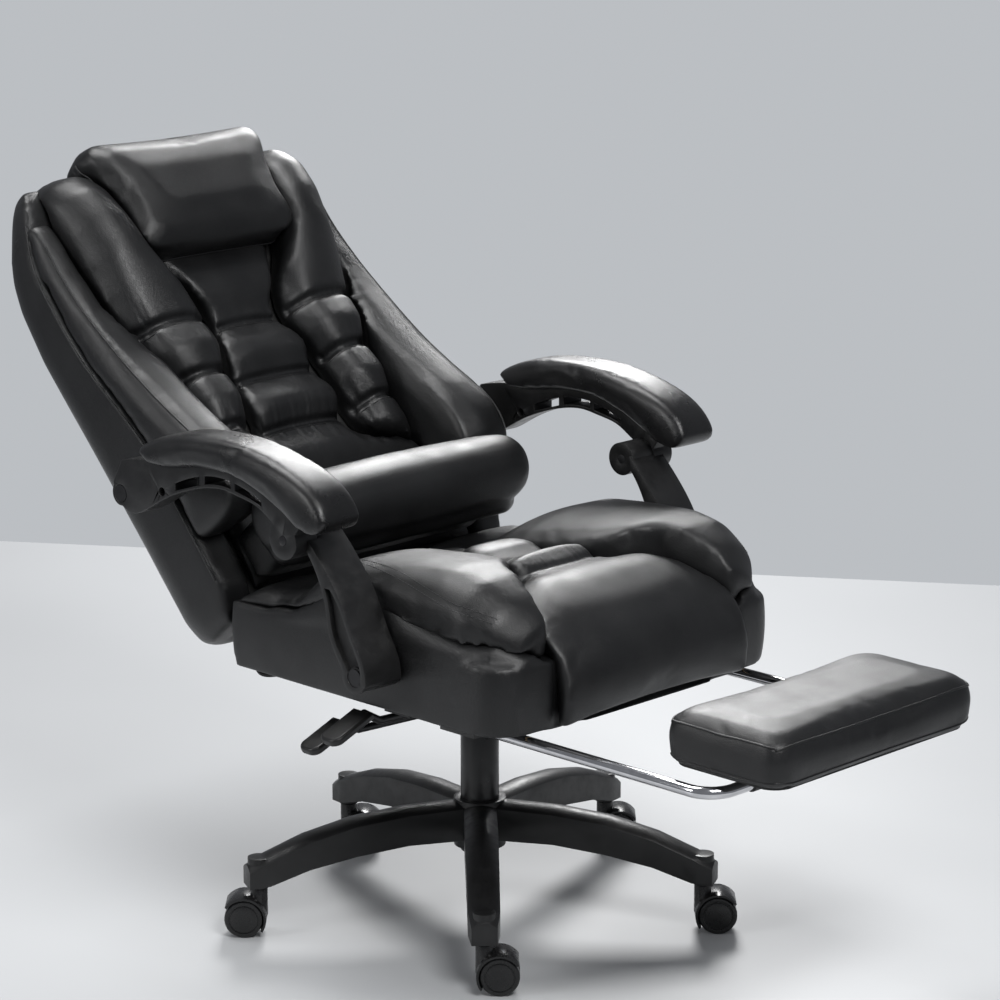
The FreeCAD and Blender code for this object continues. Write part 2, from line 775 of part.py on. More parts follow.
def strut_bolt_bores():
    bore = rod_x(strut_bolt_inner, strut_inner_x, strut_foot_pivot, pivot_bolt_radius)
    return [bore, mirrored(bore)]


# Chassis

def make_side_strips():
    y_span = (strut_foot_pivot[0] - side_ear_width / 2, strut_foot_pivot[0] + side_ear_width / 2)
    x_span = (rail_x, side_ear_x + side_ear_thickness)
    strip = block(x_span, y_span, (seat_bottom - side_strip_height, seat_bottom))
    return strip.fuse(mirrored(strip))


def make_side_brackets():
    y_span = (strut_foot_pivot[0] - side_ear_width / 2, strut_foot_pivot[0] + side_ear_width / 2)
    x_span = (side_ear_x, side_ear_x + side_ear_thickness)
    ear = block(x_span, y_span, (seat_bottom - side_strip_height, side_ear_top))

    def is_top_corner(edge):
        return along_x(edge) and edge.BoundBox.ZMin > seat_seam - side_ear_width

    ear = rounded(ear, side_ear_width / 2 - side_ear_thickness, is_top_corner)
    return ear.fuse(mirrored(ear))


def clamp_centre():
    angle = math.radians(clamp_angle)
    return (hinge_y + clamp_orbit * math.cos(angle), hinge_z + clamp_orbit * math.sin(angle))


def make_rail():
    x_to = rail_x + rail_width
    low = seat_bottom - chassis_thickness
    rail = block((rail_x, x_to), (rail_front, rail_rear), (low, seat_bottom))
    ear = block((rail_x, x_to), (ear_inner_y, ear_inner_y + ear_thickness), (low, hinge_z))
    eye = rod_x(rail_x, x_to, (hinge_y, hinge_z), ear_thickness / 2)
    centre = clamp_centre()
    lug_eye = rod_x(rail_x, x_to, centre, clamp_head_radius + washer_gap)
    z_span = (centre[1] - clamp_head_radius - washer_gap, centre[1] + clamp_head_radius)
    lug = block((rail_x, x_to), (hinge_y, centre[0]), z_span)
    rail = rail.fuse([ear, eye, lug_eye, lug])
    rail = rail.cut(rod_x(rail_x, x_to, (hinge_y, hinge_z), hinge_pin_radius))
    return rail.cut(rod_x(rail_x, x_to, centre, clamp_bolt_radius))


def make_seat_chassis():
    rail = make_rail()
    low = seat_bottom - chassis_thickness
    members = []
    for middle, width in zip(member_centres, member_widths):
        members.append(block((-rail_x, rail_x), (middle - width / 2, middle + width / 2), (low, seat_bottom)))
    chassis = rail.fuse([mirrored(rail), make_side_strips(), make_side_brackets()] + members)
    for x, y in bolt_places():
        chassis = chassis.cut(rod_z(low, seat_bottom, bolt_radius, x, y))
    return one(chassis.cut(strut_bolt_bores()))


def bolt_places():
    return [(sign * bolt_x, y) for sign in (-1, 1) for y in bolt_ys]


def make_mechanism_bolts():
    flange_bottom = housing_sections[-2][0]
    bolts = []
    for x, y in bolt_places():
        shank = rod_z(flange_bottom, seat_bottom, bolt_radius, x, y)
        head = rod_z(flange_bottom - bolt_head_height, flange_bottom, bolt_head_radius, x, y)
        bolts.append(shank.fuse(head))
    return Part.makeCompound(bolts)


def make_hinge_pins():
    head_radius = hinge_pin_radius + washer_gap
    hinge = (hinge_y, hinge_z)
    outer = bracket_x + bracket_thickness + turning_gap
    pin = rod_x(rail_x - washer_gap, outer + washer_gap, hinge, hinge_pin_radius)
    head = rod_x(rail_x - 2 * washer_gap, rail_x, hinge, head_radius)
    cap = rod_x(outer, outer + washer_gap, hinge, head_radius)
    pin = pin.fuse([head, cap])
    return Part.makeCompound([pin, mirrored(pin)])


# Mechanism under the seat

def rounded_rectangle(half, front, rear, height, radius):
    bend = radius * (1 - math.sin(math.radians(45)))
    edges = []
    corners = ((half, rear, 1, 1), (-half, rear, -1, 1), (-half, front, -1, -1), (half, front, 1, -1))
    ends = []
    for index, (x, y, x_sign, y_sign) in enumerate(corners):
        by_y = V(x, y - y_sign * radius, height)
        by_x = V(x - x_sign * radius, y, height)
        middle = V(x - x_sign * bend, y - y_sign * bend, height)
        first, last = (by_y, by_x) if index % 2 == 0 else (by_x, by_y)
        ends.append((first, last))
        edges.append(Part.Arc(first, middle, last).toShape())
    for index in range(len(corners)):
        start = ends[index][1]
        stop = ends[(index + 1) % len(corners)][0]
        edges.insert(2 * index + 1, Part.makeLine(start, stop))
    return Part.Wire(edges)


def housing_wire(section):
    height, half, front, rear = section
    return rounded_rectangle(half, front, rear, height, housing_corner)


def make_mechanism_housing():
    housing = loft([housing_wire(section) for section in housing_sections])
    y_front, y_rear = (housing_sections[0][2] + housing_wall, housing_sections[0][3] - housing_wall)
    half = housing_sections[0][1] - housing_wall
    top = housing_sections[-1][0]
    cavity = block((-half, half), (y_front, y_rear), (housing_floor, top))
    cavity = cavity.fuse(block((-bay_half, bay_half), (bay_front, bay_rear), (bay_floor, top)))
    tube_seat = rod_z(housing_sections[0][0], pressure_tube_top, tube_seat_radius)
    housing = housing.cut(cavity.cut(tube_seat))
    low = rod_z(0, pressure_tube_top - taper_length, pressure_tube_radius)
    housing = housing.cut([tube_taper(0.0), low])
    slots = []
    for y, z in ((height_lever_y, height_lever_z), (recline_lever_y, recline_lever_z)):
        width = lever_rod_radius + turning_gap
        z_span = (z - lever_swing_slot / 2, z + lever_swing_slot / 2)
        slots.append(block((-seat_half_width, -half), (y - width, y + width), z_span))
        slots.append(make_lever_journal(y, z, running_gap))
    housing = housing.cut(slots)
    flange_bottom = housing_sections[-2][0]
    housing = housing.cut(make_recline_cable())
    for x, y in bolt_places():
        housing = housing.cut(rod_z(flange_bottom, seat_bottom, bolt_radius, x, y))
        housing = housing.cut(rod_z(0, flange_bottom, bolt_head_radius + turning_gap, x, y))
    return one(housing)


# Hand levers

def rod_between(start, end, radius):
    return Part.makeCylinder(radius, (end - start).Length, start, end - start)


def lever_path(y, z):
    slope = math.tan(math.radians(lever_slope))
    high = z + lever_lift
    return [
        V(lever_pivot_x, y, z), V(lever_straight_end, y, z),
        V(lever_shoulder_x, y, z + lever_shoulder_lift),
        V(paddle_root, y, high), V(lever_rod_end, y, high - (paddle_root - lever_rod_end) * slope)]


def make_bent_rod(y, z):
    path = lever_path(y, z)
    rods = [rod_between(start, end, lever_rod_radius) for start, end in zip(path, path[1:])]
    knees = [Part.makeSphere(lever_rod_radius, point) for point in path[1:-1]]
    return rods[0].fuse(rods[1:] + knees)


def make_lever_journal(y, z, gap):
    # It runs in the housing's wall that lies next to the lever
    wall = bay_front - lever_journal_depth if y < 0 else bay_rear + lever_journal_depth
    low, high = sorted((y, wall))
    return Part.makeCylinder(lever_journal_radius + gap, high - low, V(lever_pivot_x, low, z), Y_AXIS)


def make_lever_rod(y, z, reaches_button):
    crank_rear = lever_finger_width / 2 if reaches_button else y + lever_finger_width
    y_span = (y - lever_rod_radius, crank_rear)
    z_span = (z - lever_finger / 2, z + lever_finger / 2)
    crank = block((lever_pivot_x - lever_rod_radius, lever_pivot_x + lever_finger), y_span, z_span)
    rod = make_bent_rod(y, z).fuse([crank, make_lever_journal(y, z, 0.0)])
    if not reaches_button:
        return one(rod)
    y_span = (-lever_finger_width / 2, lever_finger_width / 2)
    return one(rod.fuse(block((lever_pivot_x, lever_rod_radius), y_span, z_span)))


def make_paddle(y, z):
    half = paddle_width / 2
    span = (paddle_tip, paddle_root)
    paddle = block(span, (y - half, y + half), (z - paddle_thickness / 2, z + paddle_thickness / 2))

    def is_tip_corner(edge):
        upright = abs(edge.BoundBox.ZLength - paddle_thickness) < turning_gap
        return upright and edge.BoundBox.XMax < paddle_tip + half

    paddle = rounded(paddle, half - paddle_rounding, is_tip_corner)
    paddle = rounded(paddle, paddle_rounding, lambda edge: edge.BoundBox.ZLength < turning_gap)
    paddle.translate(V(0, 0, lever_lift))
    paddle.rotate(V(paddle_root, y, z + lever_lift), Y_AXIS, -lever_slope)
    return one(paddle.cut(make_bent_rod(y, z)))


def make_height_lever_rod():
    return make_lever_rod(height_lever_y, height_lever_z, True)


def make_height_lever_paddle():
    return make_paddle(height_lever_y, height_lever_z)


def make_recline_lever_rod():
    return make_lever_rod(recline_lever_y, recline_lever_z, False)


def make_recline_lever_paddle():
    return make_paddle(recline_lever_y, recline_lever_z)


def clamp_lever_tip():
    angle = math.radians(clamp_lever_angle)
    y, z = clamp_centre()
    return (y + clamp_lever_length * math.cos(angle), z + clamp_lever_length * math.sin(angle))


def make_recline_clamp_lever():
    centre = clamp_centre()
    inner = -(rail_x - clamp_head_height)
    outer = -(bracket_x + bracket_thickness + turning_gap)
    bolt = rod_x(outer, inner, centre, clamp_bolt_radius - running_gap)
    head = rod_x(-rail_x + running_gap, inner, centre, clamp_head_radius)
    far = outer - clamp_lever_thickness
    eye = rod_x(far, outer, centre, clamp_head_radius)
    z_span = (centre[1] - clamp_lever_width / 2, centre[1] + clamp_lever_width / 2)
    arm = block((far, outer), (centre[0] - clamp_lever_length, centre[0]), z_span)
    arm.rotate(V(0, centre[0], centre[1]), X_AXIS, clamp_lever_angle + 180)
    tip = rod_x(far, outer, clamp_lever_tip(), clamp_lever_width / 2)
    return one(bolt.fuse([head, eye, arm, tip]))


def make_recline_cable():
    tip_y, tip_z = clamp_lever_tip()
    end = V(cable_route[-1][0], tip_y, tip_z - clamp_lever_width / 2 - cable_radius)
    points = [V(*point) for point in cable_route] + [end]
    route = Part.BSplineCurve()
    route.interpolate(points)
    start = route.tangent(route.FirstParameter)[0]
    profile = Part.Wire(Part.makeCircle(cable_radius, points[0], start))
    return Part.Wire(route.toShape()).makePipeShell([profile], True, True)


# Footrest

def make_footrest_frame():
    bend = rod_bend
    shift = bend * (1 - math.sin(math.radians(45)))
    side = rod_half_span
    path = []
    for sign in (1, -1):
        rear = V(sign * side, footrest_rear_y, rod_height)
        straight = V(sign * side, footrest_bar_y + bend, rod_height)
        middle = V(sign * (side - shift), footrest_bar_y + shift, rod_height)
        bar = V(sign * (side - bend), footrest_bar_y, rod_height)
        edges = [Part.makeLine(rear, straight), Part.Arc(straight, middle, bar).toShape()]
        path.append(edges)
    right_bar = V(-(side - bend), footrest_bar_y, rod_height)
    left_bar = V(side - bend, footrest_bar_y, rod_height)
    wire = Part.Wire(path[0] + [Part.makeLine(left_bar, right_bar)] + path[1][::-1])
    profile = Part.Wire(Part.makeCircle(rod_radius, V(side, footrest_rear_y, rod_height), Y_AXIS))
    return wire.makePipeShell([profile], True, False)


def make_footrest_guides():
    guides = []
    for sign in (-1, 1):
        centre = sign * rod_half_span
        x_span = (centre - guide_half_width, centre + guide_half_width)
        guide = block(x_span, (guide_front, guide_rear), (guide_bottom, seat_bottom))
        inner = sorted((sign * (rail_x + rail_width), centre))
        flange = block(inner, (guide_front, guide_rear), (seat_bottom - chassis_thickness, seat_bottom))
        length = guide_rear - guide_front
        bore = Part.makeCylinder(rod_radius + running_gap, length, V(centre, guide_front, rod_height), Y_AXIS)
        guides.append(guide.fuse(flange).cut(bore))
    return Part.makeCompound(guides)


def footrest_wire(height, inset):
    half = footrest_half_width - inset
    corner = footrest_corner
    return rounded_rectangle(half, footrest_front + inset, footrest_back - inset, height, corner)


def make_footrest_board():
    wire = footrest_wire(footrest_bottom, footrest_board_inset)
    return Part.Face(wire).extrude(V(0, 0, footrest_board_thickness))


def make_footrest_pad():
    pad = loft([footrest_wire(height, inset) for height, inset in footrest_layers[:-1]])
    crown = loft([footrest_wire(height, inset) for height, inset in footrest_layers[-2:]])
    return one(pad.fuse(crown).cut(make_footrest_board()))


def make_footrest_clips():
    clips = []
    outer = rod_radius + clip_wall
    bar = (footrest_bar_y, rod_height)
    post_y = (footrest_bar_y - outer, footrest_bar_y + outer)
    foot_y = (footrest_bar_y - 2 * outer, footrest_bar_y + 2 * outer)
    for x in clip_xs:
        x_span = (x - clip_width / 2, x + clip_width / 2)
        ring = rod_x(x_span[0], x_span[1], bar, outer)
        post = block(x_span, post_y, (rod_height, footrest_bottom))
        foot = block(x_span, foot_y, (footrest_bottom - clip_wall, footrest_bottom))
        bore = rod_x(x_span[0], x_span[1], bar, rod_radius + running_gap)
        clips.append(one(ring.fuse([post, foot]).cut(bore)))
    return Part.makeCompound(clips)


# Arm linkage, made on the left side

def make_arm_frame_left():
    frame = side_plate((arm_top_line, arm_under_line, arm_rear_line), arm_inner_x, arm_outer_x)
    lobe = rod_x(arm_inner_x, arm_outer_x, knuckle_pivot, arm_lobe_radius)
    rear_lobe = rod_x(arm_inner_x, arm_outer_x, arm_rear_pivot, arm_boss_radius)
    boss = rod_x(arm_boss_inner, arm_inner_x, arm_rear_pivot, arm_boss_radius)
    frame = frame.fuse([lobe, rear_lobe, boss])
    gap = side_plate((window_low, window_high[::-1]), arm_inner_x, arm_outer_x)
    for y_span in arm_windows:
        window = block((arm_inner_x, arm_outer_x), y_span, (hinge_z, 2 * hinge_z))
        frame = frame.cut(gap.common(window))
    frame = frame.cut(rod_x(arm_inner_x, arm_outer_x, arm_round_hole, arm_round_hole_radius))
    frame = frame.cut(rod_x(arm_boss_inner, arm_outer_x, arm_rear_pivot, pivot_bolt_radius + arm_pivot_gap))
    frame = frame.cut(rod_x(arm_inner_x, arm_outer_x, knuckle_pivot, pivot_bolt_radius))
    head_from = arm_outer_x - pivot_bolt_head_height
    head = rod_x(head_from, arm_outer_x, arm_rear_pivot, pivot_bolt_head + turning_gap)
    return one(frame.cut(head))


def make_arm_pad_left(frame):
    pad = side_plate((pad_top_line, pad_nose_line, pad_floor_line), pad_inner_x, pad_outer_x)
    top = max(z for y, z in pad_top_line)

    def is_upper(edge):
        box = edge.BoundBox
        flat = at_x(edge, pad_inner_x) or at_x(edge, pad_outer_x)
        return flat and box.ZMax > top - pad_rounding and box.YLength > pad_rounding

    return rounded(pad, pad_rounding, is_upper).cut(frame)


def make_strut_left():
    band = side_plate((strut_rear_line, strut_front_line), strut_inner_x, strut_outer_x)
    foot = rod_x(strut_inner_x, strut_outer_x, strut_foot_pivot, strut_foot_radius)
    knuckle = rod_x(knuckle_inner_x, arm_inner_x - knuckle_gap, knuckle_pivot, strut_knuckle_radius)
    lobe_space = rod_x(arm_inner_x - knuckle_gap, arm_outer_x, knuckle_pivot, arm_lobe_radius + knuckle_gap)
    under_arm = block((strut_inner_x, strut_outer_x), (knuckle_pivot[0], hinge_y), (hinge_z, 2 * hinge_z))
    strut = band.fuse(foot).cut(lobe_space).fuse(knuckle).cut(under_arm.cut(knuckle))
    recess_floor = strut_outer_x - recess_depth
    boss_top = strut_outer_x - recess_depth / 2
    recess = side_plate((recess_rear_line, recess_front_line), recess_floor, strut_outer_x)
    boss = rod_x(recess_floor, boss_top, strut_foot_pivot, strut_boss_radius)
    bore = pivot_bolt_radius + running_gap
    cuts = [recess.cut(boss)]
    cuts.append(rod_x(strut_inner_x, strut_outer_x, strut_foot_pivot, bore))
    cuts.append(rod_x(boss_top, strut_outer_x, strut_foot_pivot, pivot_bolt_head + turning_gap))
    cuts.append(rod_x(strut_inner_x, arm_inner_x, knuckle_pivot, bore))
    return one(strut.cut(cuts))


def make_knuckle_pin_left():
    return rod_x(knuckle_inner_x, arm_outer_x, knuckle_pivot, pivot_bolt_radius)


def make_strut_pivot_bolt():
    head_from = strut_outer_x - recess_depth / 2
    head_to = head_from + pivot_bolt_head_height / 2
    bolt = rod_x(strut_bolt_inner, head_from, strut_foot_pivot, pivot_bolt_radius)
    return bolt.fuse(rod_x(head_from, head_to, strut_foot_pivot, pivot_bolt_head))


def make_arm_rear_bolt():
    head_from = arm_outer_x - pivot_bolt_head_height
    bolt = rod_x(arm_bolt_inner, head_from, arm_rear_pivot, pivot_bolt_radius)
    return bolt.fuse(rod_x(head_from, arm_outer_x, arm_rear_pivot, pivot_bolt_head))


# Back, made upright

def shell_wire(section):
    height, front, rear, half, corner = section
    bend = corner * (1 - math.sin(math.radians(45)))
    side_end = V(half, -rear - corner, height)
    middle = V(half - bend, -rear - bend, height)
    rear_end = V(half - corner, -rear, height)
    left = [V(half, -front, height), side_end, middle, rear_end]
    right = [V(-point.x, point.y, point.z) for point in left]
    return Part.Wire([
        Part.makeLine(left[0], left[1]), Part.Arc(left[1], left[2], left[3]).toShape(),
        Part.makeLine(left[3], right[3]), Part.Arc(right[3], right[2], right[1]).toShape(),
        Part.makeLine(right[1], right[0]), Part.makeLine(right[0], left[0])])


def back_board_block(gap):
    half = pocket_half_width - gap
    t_span = (-back_board_front, back_board_thickness - back_board_front)
    return block((-half, half), t_span, (pocket_bottom + gap, pocket_top - gap))


def make_back_board():
    return back_board_block(back_board_gap)


def make_bracket():
    x_to = bracket_x + bracket_thickness
    eye = rod_x(bracket_x, x_to, (0, 0), bracket_eye)
    rear = -bracket_rear
    front = back_board_thickness - back_board_front
    corner = [(-bracket_eye, 0.0), (front, bracket_eye), (front, bracket_top)]
    corner += [(rear, bracket_top), (rear, 0.0), (bracket_eye / 2, -bracket_eye / 2)]
    wire = Part.makePolygon(side_points(corner + corner[:1], bracket_x))
    plate = Part.Face(wire).extrude(V(bracket_thickness, 0, 0))
    return plate.fuse(eye)


def make_clamp_sector():
    swing = math.degrees(sector_margin / clamp_orbit)
    first = clamp_angle + swing
    last = clamp_angle - back_travel - swing
    x_to = bracket_x + bracket_thickness
    return side_sector(sector_outer, first, last, bracket_x, x_to)


def side_sector(radius, first, last, x_from, x_to):
    def place(degrees):
        turn = math.radians(degrees)
        return V(x_from, hinge_y + radius * math.cos(turn), hinge_z + radius * math.sin(turn))

    hub = V(x_from, hinge_y, hinge_z)
    rim = Part.Arc(place(first), place((first + last) / 2), place(last)).toShape()
    sides = [Part.makeLine(place(last), hub), Part.makeLine(hub, place(first))]
    return Part.Face(Part.Wire([rim] + sides)).extrude(V(x_to - x_from, 0, 0))


def make_back_hinge_bracket():
    bracket = on_back(make_bracket()).fuse(make_clamp_sector())
    bore = rod_x(bracket_x, bracket_x + bracket_thickness, (hinge_y, hinge_z), hinge_pin_radius + running_gap)
    return one(bracket.cut(bore))


def arm_bolt_bore():
    return rod_x(arm_bolt_inner, arm_boss_inner, arm_rear_pivot, pivot_bolt_radius)


def make_back_rear_shell():
    shell = loft([shell_wire(section) for section in shell_sections])
    x_span = (-pocket_half_width, pocket_half_width)
    y_span = (-back_half_width, back_board_thickness - back_board_front)
    pocket = block(x_span, y_span, (pocket_bottom, pocket_top))
    shell = shell.cut(pocket)
    cuts = []
    slot = make_bracket()
    y_span = (-hinge_pocket_front, -hinge_pocket_rear)
    for sign in (-1, 1):
        x_span = sorted((sign * hinge_pocket_inner, sign * hinge_pocket_outer))
        cuts.append(block(x_span, y_span, (-hinge_pocket_top, hinge_pocket_top)))
    cuts += [slot, mirrored(slot)]
    shell = on_back(shell.cut(cuts))
    return shell.cut([arm_bolt_bore(), mirrored(arm_bolt_bore())])


def center_prism():
    return plan_prism_back(center_outline)


def plan_prism_back(outline):
    depth = back_half_width
    right = [V(-half, -depth, s) for s, half in outline]
    left = [V(half, -depth, s) for s, half in reversed(outline)]
    return Part.Face(closed_wire([right, left])).extrude(V(0, 2 * depth, 0))


def make_center_pad_form():
    floor = -back_board_front
    line = back_points(center_pad_profile)
    ends = [(floor, line[-1][1]), (floor, line[0][1])]
    face = Part.Face(closed_wire([side_points(line, -back_half_width), side_points(ends, -back_half_width)]))
    pad = face.extrude(V(2 * back_half_width, 0, 0))
    return pad.common(center_prism())


def bolster_wire(section):
    s, crest, inner_x, outer = section
    crest_x = inner_x + (outer - inner_x) * bolster_crest_share
    floor = back_board_front
    side_t = crest * bolster_side_share
    inner_t = crest * bolster_inner_share
    low_in = V(inner_x, -floor, s)
    top_in = V(inner_x, -inner_t, s)
    top = V(crest_x, -crest, s)
    top_out = V(outer, -side_t + bolster_outer_drop * bolster_side_share, s)
    low_out = V(outer - bolster_outer_drop / 4, -floor, s)
    inner_middle = V((inner_x + crest_x) / 2, -(inner_t + (crest - inner_t) * crown_share), s)
    fall = crest + top_out.y
    outer_middle = V((crest_x + outer) / 2, -(crest - fall / 4), s)
    return Part.Wire([
        Part.makeLine(low_in, top_in), Part.Arc(top_in, inner_middle, top).toShape(),
        Part.Arc(top, outer_middle, top_out).toShape(), Part.makeLine(top_out, low_out),
        Part.makeLine(low_out, low_in)])


def make_bolster_form():
    return loft([bolster_wire(section) for section in bolster_sections]).cut(center_prism())


def side_panel_wire(x, inset):
    edge = [(s, t - inset) for s, t in side_panel_edge]
    edge[0] = (edge[0][0] + inset, edge[0][1])
    edge[1] = (edge[1][0] + inset, edge[1][1])
    edge = back_points(edge)
    floor = [(back_half_width / 4, edge[-1][1]), (back_half_width / 4, edge[0][1])]
    return closed_wire([side_points(edge, x), side_points(floor, x)])


def make_side_panel_form():
    shoulder = back_half_width - side_panel_rounding
    crest = (shoulder + back_half_width) / 2
    middle = (side_panel_inner + shoulder) / 2
    layers = ((side_panel_inner, side_panel_rounding), (middle, 0.0), (shoulder, 0.0))
    layers += ((crest, side_panel_rounding / 4), (back_half_width, side_panel_rounding))
    return loft([side_panel_wire(x, inset) for x, inset in layers])


def headrest_wire(layer):
    t, inset = layer
    low = headrest_bottom + inset
    high = headrest_top - inset
    low_half = headrest_low_half - inset
    high_half = headrest_high_half - inset
    corner = (high - low) * headrest_corner_share
    lean = (high_half - low_half) / (high - low)
    low_side = V(low_half + lean * corner, -t, low + corner)
    bend = corner * (1 - math.sin(math.radians(45)))
    low_bend = V(low_half - bend, -t, low + bend)
    low_end = V(low_half - corner, -t, low)
    high_side = V(high_half - lean * corner, -t, high - corner)
    high_bend = V(high_half - bend, -t, high - bend)
    high_end = V(high_half - corner, -t, high)
    side_mid = V((low_half + high_half) / 2 - headrest_draw_in, -t, (low + high) / 2)
    left = [low_end, low_bend, low_side, side_mid, high_side, high_bend, high_end]
    right = [V(-point.x, point.y, point.z) for point in reversed(left)]
    edges = []
    for side in (left, right):
        for start in range(0, len(side) - 1, 2):
            edges.append(Part.Arc(side[start], side[start + 1], side[start + 2]).toShape())
        far = right[0] if side is left else left[0]
        edges.append(Part.makeLine(side[-1], far))
    return Part.Wire(edges)


def make_headrest_form():
    return loft([headrest_wire(layer) for layer in headrest_layers])


def roll_form(s, t, radius, end_radius, half, shoulder):
    axis_y = -t
    drop = radius - end_radius
    points = [V(0, axis_y - radius, s), V(shoulder, axis_y - radius + drop * roll_drop_share, s)]
    points.append(V(half, axis_y - end_radius * roll_end_share, s))
    mid = V(shoulder / 2, axis_y - radius + drop * roll_middle_share, s)
    body = Part.Arc(points[0], mid, points[1]).toShape()
    bend_x = shoulder + (half - shoulder) * roll_bend_share
    bend = V(bend_x, axis_y - end_radius * roll_bend_height, s)
    corner = Part.Arc(points[1], bend, points[2]).toShape()
    end = Part.makeLine(points[2], V(half, axis_y, s))
    axis = Part.makeLine(V(half, axis_y, s), V(0, axis_y, s))
    base = Part.makeLine(V(0, axis_y, s), points[0])
    face = Part.Face(Part.Wire([body, corner, end, axis, base]))
    half_roll = face.revolve(V(0, axis_y, s), X_AXIS, 360)
    return half_roll.fuse(mirrored(half_roll))


def make_seat_print():
    seat = make_seat_center_pad()
    seat.translate(V(0, 0, turning_gap))
    seat.rotate(V(0, hinge_y, hinge_z), X_AXIS, -back_travel)
    return seat


def make_lumbar_form():
    roll = roll_form(roll_s, roll_t, roll_radius, roll_end_radius, roll_half_length, roll_shoulder)
    share = lobe_radius / roll_radius
    shoulder = lobe_half_length - lobe_radius / 2
    lobe_end = roll_end_radius * share
    lobe = roll_form(lobe_s, lobe_t, lobe_radius, lobe_end, lobe_half_length, shoulder)
    tongue = block((-tongue_half_length, tongue_half_length), (-roll_t, 0), (tongue_low, tongue_high))
    return roll.fuse([lobe, tongue])


# Assembly

def make_base_parts():
    parts = {
        "star_base": make_star_base(), "caster_stems": make_caster_stems(),
        "gas_outer_tube": make_gas_outer_tube(), "gas_guide_sleeve": make_gas_guide_sleeve(),
        "thrust_bearing": make_thrust_bearing(), "rod_clip": make_rod_clip(),
        "gas_piston_rod": make_gas_piston_rod(), "gas_pressure_tube": make_gas_pressure_tube(),
        "lift_release_button": make_lift_release_button()}
    hood = make_caster_hood()
    wheels = make_caster_wheels()
    for index in range(star_arms):
        parts["caster_hood_%d" % (index + 1)] = at_caster(hood, index)
        parts["caster_wheels_%d" % (index + 1)] = at_caster(wheels, index)
    return parts


def make_seat_parts():
    pad = make_seat_center_pad()
    wing = make_seat_bolster_left()
    wings = [wing, mirrored(wing)]
    return {
        "mechanism_housing": make_mechanism_housing(), "mechanism_bolts": make_mechanism_bolts(),
        "seat_chassis": make_seat_chassis(), "seat_board": make_seat_board(),
        "seat_dust_cover": make_seat_dust_cover(), "seat_boxing": make_seat_boxing(pad, wings),
        "seat_center_pad": pad, "seat_bolster_left": wings[0], "seat_bolster_right": wings[1],
        "hinge_pins": make_hinge_pins(), "height_lever_rod": make_height_lever_rod(),
        "height_lever_paddle": make_height_lever_paddle(), "recline_lever_rod": make_recline_lever_rod(),
        "recline_lever_paddle": make_recline_lever_paddle(),
        "recline_clamp_lever": make_recline_clamp_lever(), "recline_cable": make_recline_cable()}


def make_footrest_parts():
    return {
        "footrest_frame": make_footrest_frame(), "footrest_guides": make_footrest_guides(),
        "footrest_board": make_footrest_board(), "footrest_pad": make_footrest_pad(),
        "footrest_clips": make_footrest_clips()}


def make_arm_parts():
    frame = make_arm_frame_left()
    left = {
        "arm_frame": frame, "arm_pad": make_arm_pad_left(frame), "arm_strut": make_strut_left(),
        "knuckle_pin": make_knuckle_pin_left()}
    parts = {}
    for name, shape in left.items():
        parts[name + "_left"] = shape
        parts[name + "_right"] = mirrored(shape)
    bolts = {"strut_pivot_bolts": make_strut_pivot_bolt(), "arm_rear_bolts": make_arm_rear_bolt()}
    for name, bolt in bolts.items():
        parts[name] = Part.makeCompound([bolt, mirrored(bolt)])
    return parts


def make_back_parts():
    shell = make_back_rear_shell()
    center = on_back(make_center_pad_form()).cut(shell)
    bolster_form = on_back(make_bolster_form())
    bolster = bolster_form.cut(shell)
    board = on_back(make_back_board())
    panel = on_back(make_side_panel_form()).cut([shell, board, center, bolster_form, arm_bolt_bore()])
    panel = largest(panel)
    bracket = make_back_hinge_bracket()
    fixed = [shell, center, bolster, mirrored(bolster), panel, mirrored(panel)]
    return {
        "back_rear_shell": shell, "back_board": board, "back_center_pad": center,
        "back_bolster_left": bolster, "back_bolster_right": mirrored(bolster),
        "back_side_panel_left": panel, "back_side_panel_right": mirrored(panel),
        "back_hinge_brackets": Part.makeCompound([bracket, mirrored(bracket)]),
        "headrest_pillow": largest(on_back(make_headrest_form()).cut(fixed)),
        "lumbar_pillow": largest(on_back(make_lumbar_form()).cut(fixed + [make_seat_print()]))}


def main():
    os.makedirs("parts", exist_ok=True)
    groups = (make_base_parts, make_seat_parts, make_footrest_parts, make_arm_parts, make_back_parts)
    for make in groups:
        for node, shape in make().items():
            shape.exportStep("parts/" + node + ".step")


if __name__ == "__main__":
    main()
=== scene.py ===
import logging
import math
from dataclasses import dataclass, field
from enum import Enum

import bmesh
import bpy
import numpy as np
from mathutils import Matrix, Vector, noise
from mathutils.bvhtree import BVHTree


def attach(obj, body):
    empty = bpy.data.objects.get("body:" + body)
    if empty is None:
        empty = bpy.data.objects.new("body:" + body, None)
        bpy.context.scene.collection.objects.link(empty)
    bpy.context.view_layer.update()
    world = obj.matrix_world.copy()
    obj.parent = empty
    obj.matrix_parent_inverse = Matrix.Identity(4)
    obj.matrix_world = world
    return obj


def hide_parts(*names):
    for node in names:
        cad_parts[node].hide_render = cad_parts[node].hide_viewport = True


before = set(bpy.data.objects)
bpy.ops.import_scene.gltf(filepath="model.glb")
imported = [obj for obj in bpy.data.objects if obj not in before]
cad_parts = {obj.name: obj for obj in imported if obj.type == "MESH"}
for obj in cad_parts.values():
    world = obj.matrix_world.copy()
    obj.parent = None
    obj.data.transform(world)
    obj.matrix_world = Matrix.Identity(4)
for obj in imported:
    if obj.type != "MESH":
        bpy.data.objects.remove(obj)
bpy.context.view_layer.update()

LOG = logging.getLogger("recliner")
logging.basicConfig(level=logging.INFO, format="%(message)s")

